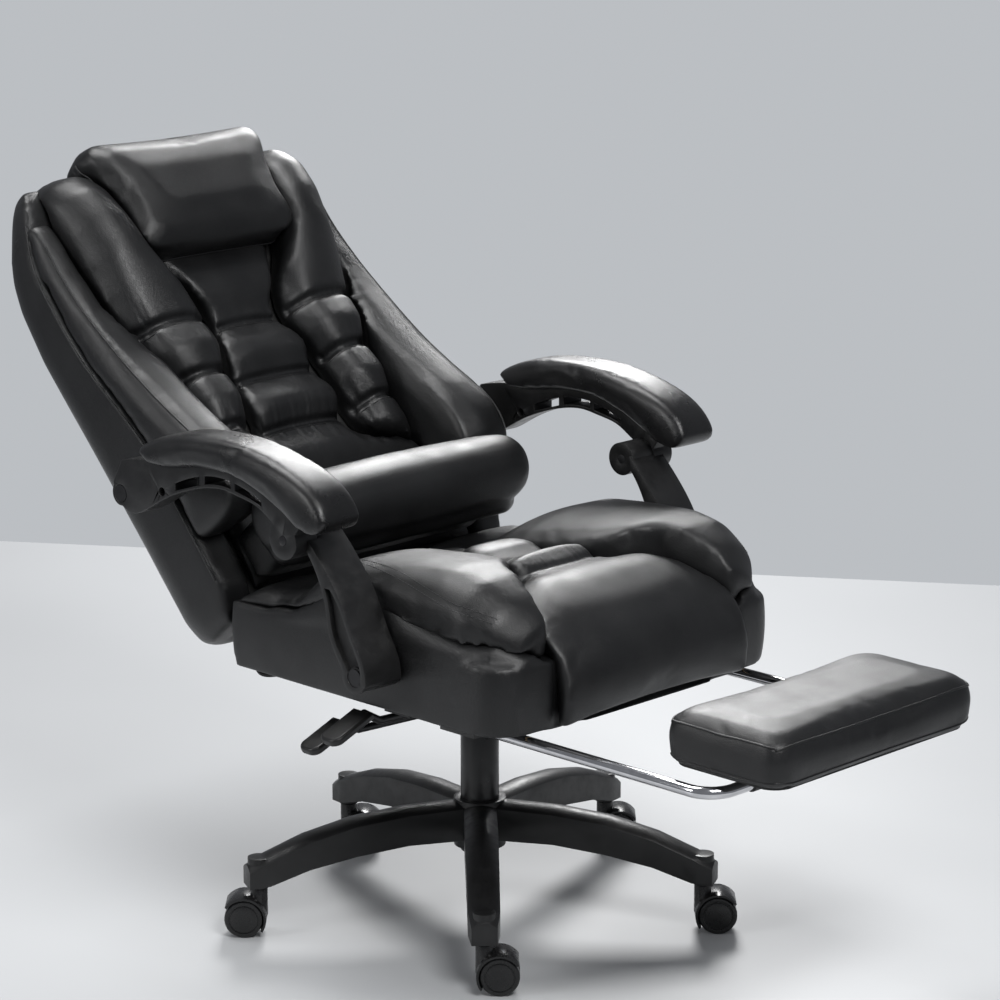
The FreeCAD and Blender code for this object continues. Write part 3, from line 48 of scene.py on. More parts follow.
MM = 0.001
HINGE = Vector((0.0, 0.200, 0.410))
BACK_LEAN = math.radians(41.0)
STUFFING_FRAMES = 20
CURVE_PARTS = 24
VERTEX_CHUNK = 8000
Points = list[Vector]
Rows = np.ndarray
Piece = bpy.types.Object
Socket = bpy.types.NodeSocket


class Side(Enum):
    """The sitter's two sides."""

    RIGHT = -1
    LEFT = 1

    @property
    def label(self) -> str:
        """The side's name as the CAD nodes write it."""
        return self.name.lower()


def back_point(x: float, s: float, t: float) -> Vector:
    """Gives the world place of a point on the back.

    Args:
        x: Millimetres to the sitter's left.
        s: Millimetres up the back from the hinge.
        t: Millimetres from the hinge's plane towards the sitter.

    Returns:
        The point in metres.
    """
    up = Vector((0.0, math.sin(BACK_LEAN), math.cos(BACK_LEAN)))
    ahead = Vector((0.0, -math.cos(BACK_LEAN), math.sin(BACK_LEAN)))
    return HINGE + Vector((x * MM, 0.0, 0.0)) + up * (s * MM) + ahead * (t * MM)


def seat_point(x: float, y: float, z: float) -> Vector:
    """Gives a point in metres from millimetres in the chair's own frame."""
    return Vector((x, y, z)) * MM


# Finishes

class Nodes:
    """A small helper that adds and links shader nodes."""

    def __init__(self, name: str) -> None:
        """Starts an empty material.

        Args:
            name: The material's name.
        """
        self.material = bpy.data.materials.new(name)
        self.material.use_nodes = True
        self.tree = self.material.node_tree
        self.shader = self.tree.nodes["Principled BSDF"]
        self.place = self.add("ShaderNodeTexCoord").outputs["Object"]

    def add(self, kind: str, **sockets: object) -> bpy.types.Node:
        """Adds a node.

        Args:
            kind: Blender's name of the node type.
            **sockets: Input names, spaces written as underscores, with a value or an output to link.

        Returns:
            The new node.
        """
        node = self.tree.nodes.new(kind)
        for key, value in sockets.items():
            socket = node.inputs[key.replace("_", " ")]
            if isinstance(value, Socket):
                self.tree.links.new(value, socket)
            else:
                socket.default_value = value
        return node

    def ramp(self, source: Socket, low: float, high: float, values: tuple[float, float]) -> Socket:
        """Maps a range of a source onto two values, smoothly.

        Args:
            source: The output that is read.
            low: Where the range starts.
            high: Where it ends.
            values: What comes out at its start and end.

        Returns:
            The output that holds the mapped value.
        """
        start, end = values
        node = self.add("ShaderNodeMapRange", Value=source, From_Min=low, From_Max=high, To_Min=start, To_Max=end)
        node.interpolation_type = "SMOOTHSTEP"
        return node.outputs["Result"]

    def noise(self, scale: float, detail: float = 3.0, rough: float = 0.5) -> Socket:
        """Adds a cloud pattern.

        Args:
            scale: Its size, in features per metre.
            detail: How many octaves it has.
            rough: How strong the small octaves are.

        Returns:
            The pattern's output, from 0 to 1.
        """
        node = self.add("ShaderNodeTexNoise", Vector=self.place, Scale=scale, Detail=detail, Roughness=rough)
        return node.outputs["Fac"]

    def cells(self, scale: float, feature: str = "F1", jitter: float = 1.0) -> Socket:
        """Adds a pattern of cells.

        Args:
            scale: Cells per metre.
            feature: F1 for pebbles or DISTANCE_TO_EDGE for the lines between them.
            jitter: How uneven the cells are.

        Returns:
            The output with the distance.
        """
        node = self.tree.nodes.new("ShaderNodeTexVoronoi")
        node.feature = feature
        self.tree.links.new(self.place, node.inputs["Vector"])
        node.inputs["Scale"].default_value = scale
        node.inputs["Randomness"].default_value = jitter
        return node.outputs["Distance"]

    def bump(self, height: Socket, depth: float, strength: float = 1.0) -> None:
        """Adds a layer of relief to the surface, over the layers before it.

        Args:
            height: The pattern.
            depth: The height of the relief in metres.
            strength: How much of it shows.
        """
        node = self.add("ShaderNodeBump", Height=height, Distance=depth, Strength=strength)
        before = self.shader.inputs["Normal"]
        if before.is_linked:
            self.tree.links.new(before.links[0].from_socket, node.inputs["Normal"])
        self.tree.links.new(node.outputs["Normal"], before)

    def colour(self, factor: Socket, dark: tuple, light: tuple) -> None:
        """Blends the base colour between two tones.

        Args:
            factor: The pattern that chooses.
            dark: The tone at 0.
            light: The tone at 1.
        """
        node = self.tree.nodes.new("ShaderNodeMix")
        node.data_type = "RGBA"
        self.tree.links.new(factor, node.inputs[0])
        node.inputs[6].default_value = (*dark, 1.0)
        node.inputs[7].default_value = (*light, 1.0)
        self.tree.links.new(node.outputs[2], self.shader.inputs["Base Color"])

    def roughness(self, source: Socket) -> None:
        """Links the shader's roughness to a pattern."""
        self.tree.links.new(source, self.shader.inputs["Roughness"])


@dataclass(frozen=True)
class Leather:
    """Coated black upholstery leather with a fine pebble grain."""

    name: str = "leather"
    dark: tuple = (0.0040, 0.0041, 0.0044)
    light: tuple = (0.0085, 0.0087, 0.0092)
    grain_per_metre: float = 620.0
    grain_depth: float = 0.00016
    crease_depth: float = 0.0005
    rough_from: float = 0.33
    rough_to: float = 0.44

    def make(self) -> bpy.types.Material:
        """Builds the material."""
        shader = Nodes(self.name)
        shader.shader.inputs["Specular IOR Level"].default_value = 0.5
        tone = shader.ramp(shader.noise(9.0, 4.0), 0.3, 0.7, (0.0, 1.0))
        shader.colour(tone, self.dark, self.light)
        pores = shader.cells(self.grain_per_metre, "DISTANCE_TO_EDGE")
        shader.bump(shader.ramp(pores, 0.0, 0.22, (0.0, 1.0)), self.grain_depth, 0.5)
        shader.bump(shader.noise(240.0, 4.0, 0.6), self.grain_depth * 1.6, 0.5)
        shader.bump(shader.noise(24.0, 3.0, 0.55), self.crease_depth, 0.5)
        shader.roughness(shader.ramp(shader.noise(17.0, 5.0), 0.3, 0.7, (self.rough_from, self.rough_to)))
        return shader.material


@dataclass(frozen=True)
class MouldedPlastic:
    """Black injection-moulded plastic with an eroded texture and handling scuffs."""

    name: str
    tone: float = 0.011
    rough: float = 0.42
    texture_depth: float = 0.00010
    texture_per_metre: float = 900.0

    def make(self) -> bpy.types.Material:
        """Builds the material."""
        shader = Nodes(self.name)
        light = self.tone * 1.7
        tone = shader.ramp(shader.noise(13.0, 5.0), 0.35, 0.7, (0.0, 1.0))
        shader.colour(tone, (self.tone,) * 3, (light, light, light * 1.04))
        shader.bump(shader.noise(self.texture_per_metre, 3.0, 0.6), self.texture_depth, 0.6)
        scuffs = shader.ramp(shader.noise(60.0, 6.0, 0.7), 0.35, 0.75, (self.rough - 0.06, self.rough + 0.12))
        shader.roughness(scuffs)
        return shader.material


@dataclass(frozen=True)
class Metal:
    """A bare, plated or painted metal."""

    name: str
    tone: tuple
    rough: float
    metallic: float = 1.0
    brush_depth: float = 0.00003

    def make(self) -> bpy.types.Material:
        """Builds the material."""
        shader = Nodes(self.name)
        shader.shader.inputs["Metallic"].default_value = self.metallic
        wear = shader.ramp(shader.noise(35.0, 6.0, 0.65), 0.3, 0.75, (0.0, 1.0))
        shader.colour(wear, tuple(part * 0.82 for part in self.tone), self.tone)
        scuffs = (self.rough * 0.8, self.rough * 1.3)
        shader.roughness(shader.ramp(shader.noise(70.0, 6.0, 0.7), 0.3, 0.75, scuffs))
        shader.bump(shader.noise(1500.0, 2.0), self.brush_depth, 0.5)
        return shader.material


@dataclass(frozen=True)
class Plywood:
    """Plywood with its grain along X, in its own tones or near black as painted shade."""

    name: str = "plywood"
    dark: tuple = (0.36, 0.23, 0.12)
    light: tuple = (0.60, 0.44, 0.27)

    def make(self) -> bpy.types.Material:
        """Builds the material."""
        shader = Nodes(self.name)
        mapping = shader.add("ShaderNodeMapping", Vector=shader.place)
        mapping.inputs["Scale"].default_value = (3.0, 60.0, 60.0)
        shader.place = mapping.outputs["Vector"]
        streaks = shader.noise(1.6, 6.0, 0.6)
        shader.colour(shader.ramp(streaks, 0.3, 0.7, (0.0, 1.0)), self.dark, self.light)
        shader.bump(streaks, 0.0002, 0.5)
        shader.shader.inputs["Roughness"].default_value = 0.65
        return shader.material


@dataclass(frozen=True)
class Felt:
    """Black non-woven cloth under the seat."""

    name: str = "dust_cover"

    def make(self) -> bpy.types.Material:
        """Builds the material."""
        shader = Nodes(self.name)
        fibres = shader.noise(1400.0, 5.0, 0.75)
        shader.colour(fibres, (0.008, 0.008, 0.009), (0.030, 0.030, 0.032))
        shader.bump(fibres, 0.0004, 0.8)
        shader.shader.inputs["Roughness"].default_value = 0.95
        return shader.material


@dataclass(frozen=True)
class Thread:
    """Waxed black sewing thread."""

    name: str = "thread"

    def make(self) -> bpy.types.Material:
        """Builds the material."""
        shader = Nodes(self.name)
        shader.colour(shader.noise(800.0, 3.0), (0.012, 0.012, 0.013), (0.036, 0.036, 0.038))
        shader.bump(shader.noise(2500.0, 2.0), 0.0001, 0.6)
        shader.shader.inputs["Roughness"].default_value = 0.6
        return shader.material


# Meshes

def add_object(name: str, mesh: bpy.types.Mesh) -> Piece:
    """Puts a mesh into the scene at the origin.

    Args:
        name: The object's name.
        mesh: Its mesh.

    Returns:
        The new object.
    """
    piece = bpy.data.objects.new(name, mesh)
    bpy.context.scene.collection.objects.link(piece)
    return piece


def copy_of_node(node: str, name: str, merge: float = 0.02 * MM) -> Piece:
    """Copies a CAD node's mesh and joins its loose triangles.

    Args:
        node: The CAD node.
        name: The copy's name.
        merge: The distance within which corners are joined.

    Returns:
        The copy, without a material.
    """
    work = bmesh.new()
    work.from_mesh(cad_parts[node].data)
    bmesh.ops.remove_doubles(work, verts=work.verts, dist=merge)
    mesh = bpy.data.meshes.new(name)
    work.to_mesh(mesh)
    work.free()
    mesh.materials.clear()
    return add_object(name, mesh)


def bake(piece: Piece) -> None:
    """Applies a piece's modifiers to its mesh.

    Args:
        piece: The piece, which keeps no modifier.
    """
    graph = bpy.context.evaluated_depsgraph_get()
    done = bpy.data.meshes.new_from_object(piece.evaluated_get(graph))
    old = piece.data
    piece.modifiers.clear()
    piece.data = done
    bpy.data.meshes.remove(old)
    done.name = piece.name


def places(mesh: bpy.types.Mesh) -> Rows:
    """Reads a mesh's vertex places as an array of rows."""
    flat = np.empty(len(mesh.vertices) * 3)
    mesh.vertices.foreach_get("co", flat)
    return flat.reshape(-1, 3)


def normals(mesh: bpy.types.Mesh) -> Rows:
    """Reads a mesh's vertex normals as an array of rows."""
    flat = np.empty(len(mesh.vertices) * 3)
    mesh.vertex_normals.foreach_get("vector", flat)
    return flat.reshape(-1, 3)


def move_to(mesh: bpy.types.Mesh, rows: Rows) -> None:
    """Sets a mesh's vertex places from an array of rows."""
    mesh.vertices.foreach_set("co", rows.ravel())
    mesh.update()


def remesh(piece: Piece, voxel: float) -> None:
    """Rebuilds a closed mesh from even quads.

    Args:
        piece: The piece.
        voxel: The quads' size in metres.
    """
    modifier = piece.modifiers.new("even quads", "REMESH")
    modifier.mode = "VOXEL"
    modifier.voxel_size = voxel
    bake(piece)


def relax(piece: Piece, rounds: int, factor: float = 0.5) -> None:
    """Softens a mesh's edges.

    Args:
        piece: The piece.
        rounds: How often it is smoothed.
        factor: How far a vertex goes to its neighbours' middle each time.
    """
    modifier = piece.modifiers.new("relax", "SMOOTH")
    modifier.iterations = rounds
    modifier.factor = factor
    bake(piece)


def subdivide(piece: Piece) -> None:
    """Applies one level of subdivision to a piece."""
    modifier = piece.modifiers.new("subdivision", "SUBSURF")
    modifier.levels = 1
    modifier.render_levels = 1
    bake(piece)


def swell(piece: Piece, pressure: float, cap: float) -> None:
    """Blows a padded piece up as stuffed cloth, and keeps each point within a cap.

    Args:
        piece: The piece, an even closed mesh.
        pressure: The cloth's inner pressure.
        cap: How far a point may move, in metres.
    """
    start = places(piece.data)
    modifier = piece.modifiers.new("stuffing", "CLOTH")
    cloth = modifier.settings
    cloth.quality = 5
    cloth.mass = 0.3
    cloth.tension_stiffness = 12.0
    cloth.compression_stiffness = 12.0
    cloth.shear_stiffness = 6.0
    cloth.bending_stiffness = 0.6
    cloth.use_pressure = True
    cloth.uniform_pressure_force = pressure
    cloth.effector_weights.gravity = 0.0
    modifier.collision_settings.use_collision = False
    modifier.point_cache.frame_start = 1
    modifier.point_cache.frame_end = STUFFING_FRAMES
    scene = bpy.context.scene
    for step in range(1, STUFFING_FRAMES + 1):
        scene.frame_set(step)
    bake(piece)
    scene.frame_set(1)
    shift = places(piece.data) - start
    length = np.maximum(np.linalg.norm(shift, axis=1), 1e-9)
    share = np.minimum(1.0, cap / length)
    move_to(piece.data, start + shift * share[:, None])


def smooth_path(points: Points, step: float = 4.0 * MM, closed: bool = False) -> Points:
    """Runs a smooth line through a few points.

    Args:
        points: The points.
        step: The distance between the points that come back, in metres.
        closed: Whether the line returns to its start.

    Returns:
        Evenly spaced points on the line.
    """
    count = len(points)
    spans = count if closed else count - 1
    fine: Points = []
    for index in range(spans):
        if closed:
            a, b, c, d = (points[(index + shift) % count] for shift in (-1, 0, 1, 2))
        else:
            b, c = points[index], points[index + 1]
            a = points[index - 1] if index > 0 else b * 2 - c
            d = points[index + 2] if index + 2 < count else c * 2 - b
        for part in range(CURVE_PARTS):
            u = part / CURVE_PARTS
            square = 2 * a - 5 * b + 4 * c - d
            cube = 3 * b - a - 3 * c + d
            fine.append(0.5 * (2 * b + (c - a) * u + square * u ** 2 + cube * u ** 3))
    fine.append(points[0].copy() if closed else points[-1].copy())
    even = [fine[0]]
    walked = 0.0
    for before, after in zip(fine, fine[1:]):
        length = (after - before).length
        while walked + length >= step and length > 0.0:
            before = before + (after - before) * ((step - walked) / length)
            length = (after - before).length
            walked = 0.0
            even.append(before)
        walked += length
    return even


@dataclass
class Surface:
    """A piece's skin, for laying lines on it."""

    piece: Piece
    tree: BVHTree = field(init=False)

    def __post_init__(self) -> None:
        """Builds the search tree."""
        mesh = self.piece.data
        corners = [vertex.co for vertex in mesh.vertices]
        self.tree = BVHTree.FromPolygons(corners, [face.vertices for face in mesh.polygons])

    def lay(self, path: Points, lift: float = 0.0) -> tuple[Points, Points]:
        """Moves a line onto the skin.

        Args:
            path: The line.
            lift: How far above the skin it ends, in metres.

        Returns:
            The line's points and the skin's normal at each.
        """
        laid: Points = []
        facing: Points = []
        for point in path:
            found, normal, _, _ = self.tree.find_nearest(point)
            laid.append(found + normal * lift)
            facing.append(normal)
        return laid, facing


def nearest_on_path(rows: Rows, path: Points, reach: float) -> tuple[Rows, Rows]:
    """Measures how far each vertex lies from a line.

    Args:
        rows: The vertex places.
        path: The line's even points.
        reach: Beyond this distance a vertex is left out.

    Returns:
        Each vertex's distance, and the length along the line of its nearest point.
    """
    line = np.array([tuple(point) for point in path])
    distance = np.full(len(rows), np.inf)
    along = np.zeros(len(rows))
    near = np.all((rows > line.min(0) - reach) & (rows < line.max(0) + reach), axis=1)
    picked = np.flatnonzero(near)
    step = float(np.linalg.norm(line[1] - line[0])) if len(line) > 1 else 0.0
    for chunk in np.array_split(picked, max(1, len(picked) // VERTEX_CHUNK)):
        if len(chunk):
            gaps = np.linalg.norm(rows[chunk][:, None, :] - line[None, :, :], axis=2)
            best = gaps.argmin(1)
            distance[chunk] = gaps[np.arange(len(chunk)), best]
            along[chunk] = best * step
    return distance, along


@dataclass
class Pinch:
    """A sewn line that draws the padding in, with the small folds that it makes."""

    points: Points
    depth: float = 5.0
    width: float = 7.0
    fold_height: float = 0.8
    fold_pitch: float = 17.0
    fold_reach: float = 26.0

    def press(self, piece: Piece, seed: float) -> None:
        """Draws a piece's surface in along the line.

        Args:
            piece: The padded piece.
            seed: A number that makes this line's folds differ from others'.
        """
        path = smooth_path(self.points)
        path, _ = Surface(piece).lay(path)
        rows = places(piece.data)
        out = normals(piece.data)
        distance, along = nearest_on_path(rows, path, self.fold_reach * 2.5 * MM)
        wave = along / (self.fold_pitch * MM)
        drift = np.sin(wave * 2.3 + seed * 1.7) * 1.3 + np.sin(wave * 0.9 + seed)
        folds = np.sin(wave * math.tau + drift) * (0.55 + 0.45 * np.sin(wave * 1.37 + seed * 2.1))
        valley = np.exp(-(distance / (self.width * MM)) ** 2)
        fade = np.exp(-distance / (self.fold_reach * MM)) * (1.0 - valley)
        shift = -self.depth * MM * valley + self.fold_height * MM * folds * fade
        shift[~np.isfinite(distance)] = 0.0
        move_to(piece.data, rows + out * shift[:, None])


def crumple(piece: Piece, height: float, size: float, seed: float) -> None:
    """Gives a padded piece the soft unevenness of stretched leather.

    Args:
        piece: The padded piece.
        height: The height of the swells in millimetres.
        size: Their length in millimetres.
        seed: A number that makes this piece's swells differ from others'.
    """
    rows = places(piece.data)
    out = normals(piece.data)
    scale = 1.0 / (size * MM)
    shift = np.empty(len(rows))
    for index, row in enumerate(rows):
        place = Vector(row) * scale + Vector((seed, seed * 0.7, -seed))
        shift[index] = noise.noise(place) + 0.45 * noise.noise(place * 2.1)
    move_to(piece.data, rows + out * (shift * height * MM)[:, None])


def shade(piece: Piece, degrees: float | None = None) -> None:
    """Shades a piece smoothly, but for its sharp edges.

    Args:
        piece: The piece.
        degrees: The angle from which an edge stays sharp, or None for none.
    """
    piece.data.shade_smooth()
    if degrees is not None:
        piece.data.set_sharp_from_angle(angle=math.radians(degrees))


def tube(name: str, path: Points, radius: float, closed: bool = False, sides: int = 8) -> Piece:
    """Makes a round welt along a line.

    Args:
        name: The piece's name.
        path: Its middle line.
        radius: Its radius in metres.
        closed: Whether it is a ring.
        sides: How many sides its section has.

    Returns:
        The mesh object.
    """
    curve = bpy.data.curves.new(name, "CURVE")
    curve.dimensions = "3D"
    curve.bevel_depth = radius
    curve.bevel_resolution = max(0, sides // 4)
    curve.use_fill_caps = not closed
    spline = curve.splines.new("POLY")
    spline.points.add(len(path) - 1)
    for point, place in zip(spline.points, path):
        point.co = (*place, 1.0)
    spline.use_cyclic_u = closed
    holder = bpy.data.objects.new(name + "_line", curve)
    bpy.context.scene.collection.objects.link(holder)
    graph = bpy.context.evaluated_depsgraph_get()
    mesh = bpy.data.meshes.new_from_object(holder.evaluated_get(graph))
    bpy.data.objects.remove(holder)
    mesh.name = name
    mesh.materials.clear()
    piece = add_object(name, mesh)
    piece.data.shade_smooth()
    return piece


def stitch_row(
        name: str, path: Points, facing: Points, pitch: float, length: float, radius: float) -> Piece:
    """Sews a row of single stitches along a line.

    Args:
        name: The piece's name.
        path: The line on the surface, with even points.
        facing: The surface's normal at each point.
        pitch: The distance from stitch to stitch in metres.
        length: A stitch's length in metres.
        radius: The thread's radius in metres.

    Returns:
        One mesh with every stitch.
    """
    work = bmesh.new()
    spacing = (path[1] - path[0]).length
    stride = max(1, round(pitch / spacing))
    for index in range(stride, len(path) - 1, stride):
        along = (path[index + 1] - path[index - 1]).normalized()
        side = along.cross(facing[index]).normalized()
        up = side.cross(along)
        basis = Matrix((side, up, along)).transposed().to_4x4()
        place = Matrix.Translation(path[index]) @ basis
        made = bmesh.ops.create_uvsphere(work, u_segments=5, v_segments=4, radius=radius)
        bmesh.ops.scale(work, vec=(1.0, 0.75, length / radius / 2), verts=made["verts"])
        bmesh.ops.transform(work, matrix=place, verts=made["verts"])
    mesh = bpy.data.meshes.new(name)
    work.to_mesh(mesh)
    work.free()
    piece = add_object(name, mesh)
    piece.data.shade_smooth()
    return piece


# Shop: finishes and the steps that every piece shares

@dataclass
class Shop:
    """Keeps the finishes and dresses pieces with them."""

    finishes: dict[str, bpy.types.Material] = field(default_factory=dict)
    render_bevel: float = 0.7 * MM

    def __post_init__(self) -> None:
        """Makes every finish once."""
        dark_steel = (0.035, 0.035, 0.037)
        self.finishes = {
            "leather": Leather().make(),
            "black_plastic": MouldedPlastic("black_plastic", 0.0065, 0.38).make(),
            "soft_pad": Leather(
                name="soft_pad", dark=(0.0045, 0.0045, 0.0048), light=(0.009, 0.009, 0.0096),
                grain_per_metre=800.0, grain_depth=0.0001, crease_depth=0.0002,
                rough_from=0.26, rough_to=0.38).make(),
            "black_steel": Metal("black_steel", (0.009, 0.009, 0.0095), 0.34, 0.0).make(),
            "steel": Metal("steel", (0.52, 0.52, 0.53), 0.30).make(),
            "dark_steel": Metal("dark_steel", dark_steel, 0.34, 0.6).make(),
            "chrome_tube": Metal("chrome_tube", (0.72, 0.72, 0.74), 0.10).make(),
            "plywood": Plywood().make(),
            # The near-black board tones are painted shade: they darken the boards where they show in the shaded
            # gap between back and seat and under the footrest pad.
            "shade_darkened_board": Plywood("shade_darkened_board", (0.006, 0.006, 0.006), (0.014, 0.014, 0.014)).make(),
            "liner": Felt().make(),
            "cable_black": MouldedPlastic("cable_black", 0.008, 0.5).make(),
            "caster_plastic": MouldedPlastic("caster_plastic", 0.006, 0.28, 0.00005, 600.0).make(),
            "thread": Thread().make(),
        }

    def dress_node(self, node: str, finish: str) -> None:
        """Gives a CAD node that stays its finish.

        Args:
            node: The node.
            finish: The finish's name.
        """
        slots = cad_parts[node].data.materials
        slots.clear()
        slots.append(self.finishes[finish])
        LOG.info("node %s: %s", node, finish)

    def attach(self, piece: Piece, body: str, finish: str, slot: str | None = None) -> None:
        """Gives a new piece its finish and its body.

        Args:
            piece: The piece.
            body: The CAD body it rides on.
            finish: The finish's name.
            slot: Not used.
        """
        piece.data.materials.clear()
        piece.data.materials.append(self.finishes[finish])
        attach(piece, body)
        LOG.info("piece %s on %s: %s, %d faces", piece.name, body, finish, len(piece.data.polygons))

    def hard_piece(
            self, node: str, body: str, finish: str, slot: str | None = None,
            bevel: float | None = None, sharp: float = 32.0) -> Piece:
        """Replaces a rigid CAD node by its own shape with broken edges.

        Args:
            node: The node.
            body: The CAD body it rides on.
            finish: The finish's name.
            slot: Passed on to attach, which does not use it.
            bevel: The width of the broken edges in metres.
            sharp: The angle from which an edge is broken, in degrees.

        Returns:
            The new piece.
        """
        piece = copy_of_node(node, node + "_dressed")
        modifier = piece.modifiers.new("broken edges", "BEVEL")
        modifier.width = bevel or self.render_bevel
        modifier.segments = 2
        modifier.limit_method = "ANGLE"
        modifier.angle_limit = math.radians(sharp)
        modifier.use_clamp_overlap = True
        bake(piece)
        shade(piece, sharp)
        self.attach(piece, body, finish, slot)
        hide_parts(node)
        return piece


@dataclass
class Pad:
    """How one cushion is made from its CAD solid."""

    node: str
    body: str
    voxel: float = 6.0
    soften: int = 6
    pressure: float = 4.0
    cap: float = 8.0
    fill: float = 0.7
    swells: float = 0.8
    swell_size: float = 90.0
    finish: str = "leather"
    pinches: list[Pinch] = field(default_factory=list)
    settle_rounds: int = 4
    settle_factor: float = 0.45
    fold_seed_step: float = 1.9

    def make(self, shop: Shop, seed: float) -> Piece:
        """Builds the cushion and puts it in its node's place.

        Args:
            shop: The finishes.
            seed: A number that sets its folds apart.

        Returns:
            The cushion.
        """
        piece = copy_of_node(self.node, self.node + "_pad")
        remesh(piece, self.voxel * MM)
        relax(piece, self.soften)
        if self.cap:
            swell(piece, self.pressure, self.cap * MM)
            relax(piece, self.settle_rounds, self.settle_factor)
        subdivide(piece)
        if self.swells:
            crumple(piece, self.swells, self.swell_size, seed)
        for index, pinch in enumerate(self.pinches):
            pinch.press(piece, seed + index * self.fold_seed_step)
        shade(piece)
        shop.attach(piece, self.body, self.finish)
        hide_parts(self.node)
        return piece


@dataclass
class Seamwork:
    """Sews welts and stitches onto finished cushions."""

    shop: Shop
    stitch_pitch: float = 5.2
    stitch_length: float = 3.9
    thread_radius: float = 0.55

    def welt(
            self, name: str, on: Piece, body: str, points: Points, radius: float,
            closed: bool = False, lift: float = 0.2) -> None:
        """Lays a leather-covered cord along a seam.

        Args:
            name: The piece's name.
            on: The cushion that it is sewn to.
            body: The body it rides on.
            points: A few points of the seam.
            radius: The cord's radius in millimetres.
            closed: Whether the seam is a ring.
            lift: How far its middle stands above the skin in millimetres.
        """
        path, _ = Surface(on).lay(smooth_path(points, closed=closed), lift * MM)
        if closed:
            path = path[:-1]
        path = soften_line(path, 3, closed)
        piece = tube(name, path, radius * MM, closed)
        self.shop.attach(piece, body, "leather")

    def stitch(self, name: str, on: Piece, body: str, points: Points, lift: float = 0.3) -> None:
        """Sews a row of stitches along a line on a cushion.

        Args:
            name: The piece's name.
            on: The cushion.
            body: The body it rides on.
            points: A few points of the line.
            lift: How far the thread stands above the skin in millimetres.
        """
        path, facing = Surface(on).lay(smooth_path(points, step=1.3 * MM), lift * MM)
        pitch, length, radius = (size * MM for size in (self.stitch_pitch, self.stitch_length, self.thread_radius))
        piece = stitch_row(name, path, facing, pitch, length, radius)
        self.shop.attach(piece, body, "thread", "leather")


def soften_line(path: Points, rounds: int, closed: bool) -> Points:
    """Evens out a line of points.

    Args:
        path: The points.
        rounds: How often each goes to its neighbours' middle.
        closed: Whether the line is a ring.

    Returns:
        The new points.
    """
    for _ in range(rounds):
        count = len(path)
        fresh = list(path)
        for index in range(count):
            if closed or 0 < index < count - 1:
                fresh[index] = (path[index - 1] + path[index] * 2 + path[(index + 1) % count]) / 4
        path = fresh
    return path


# Back

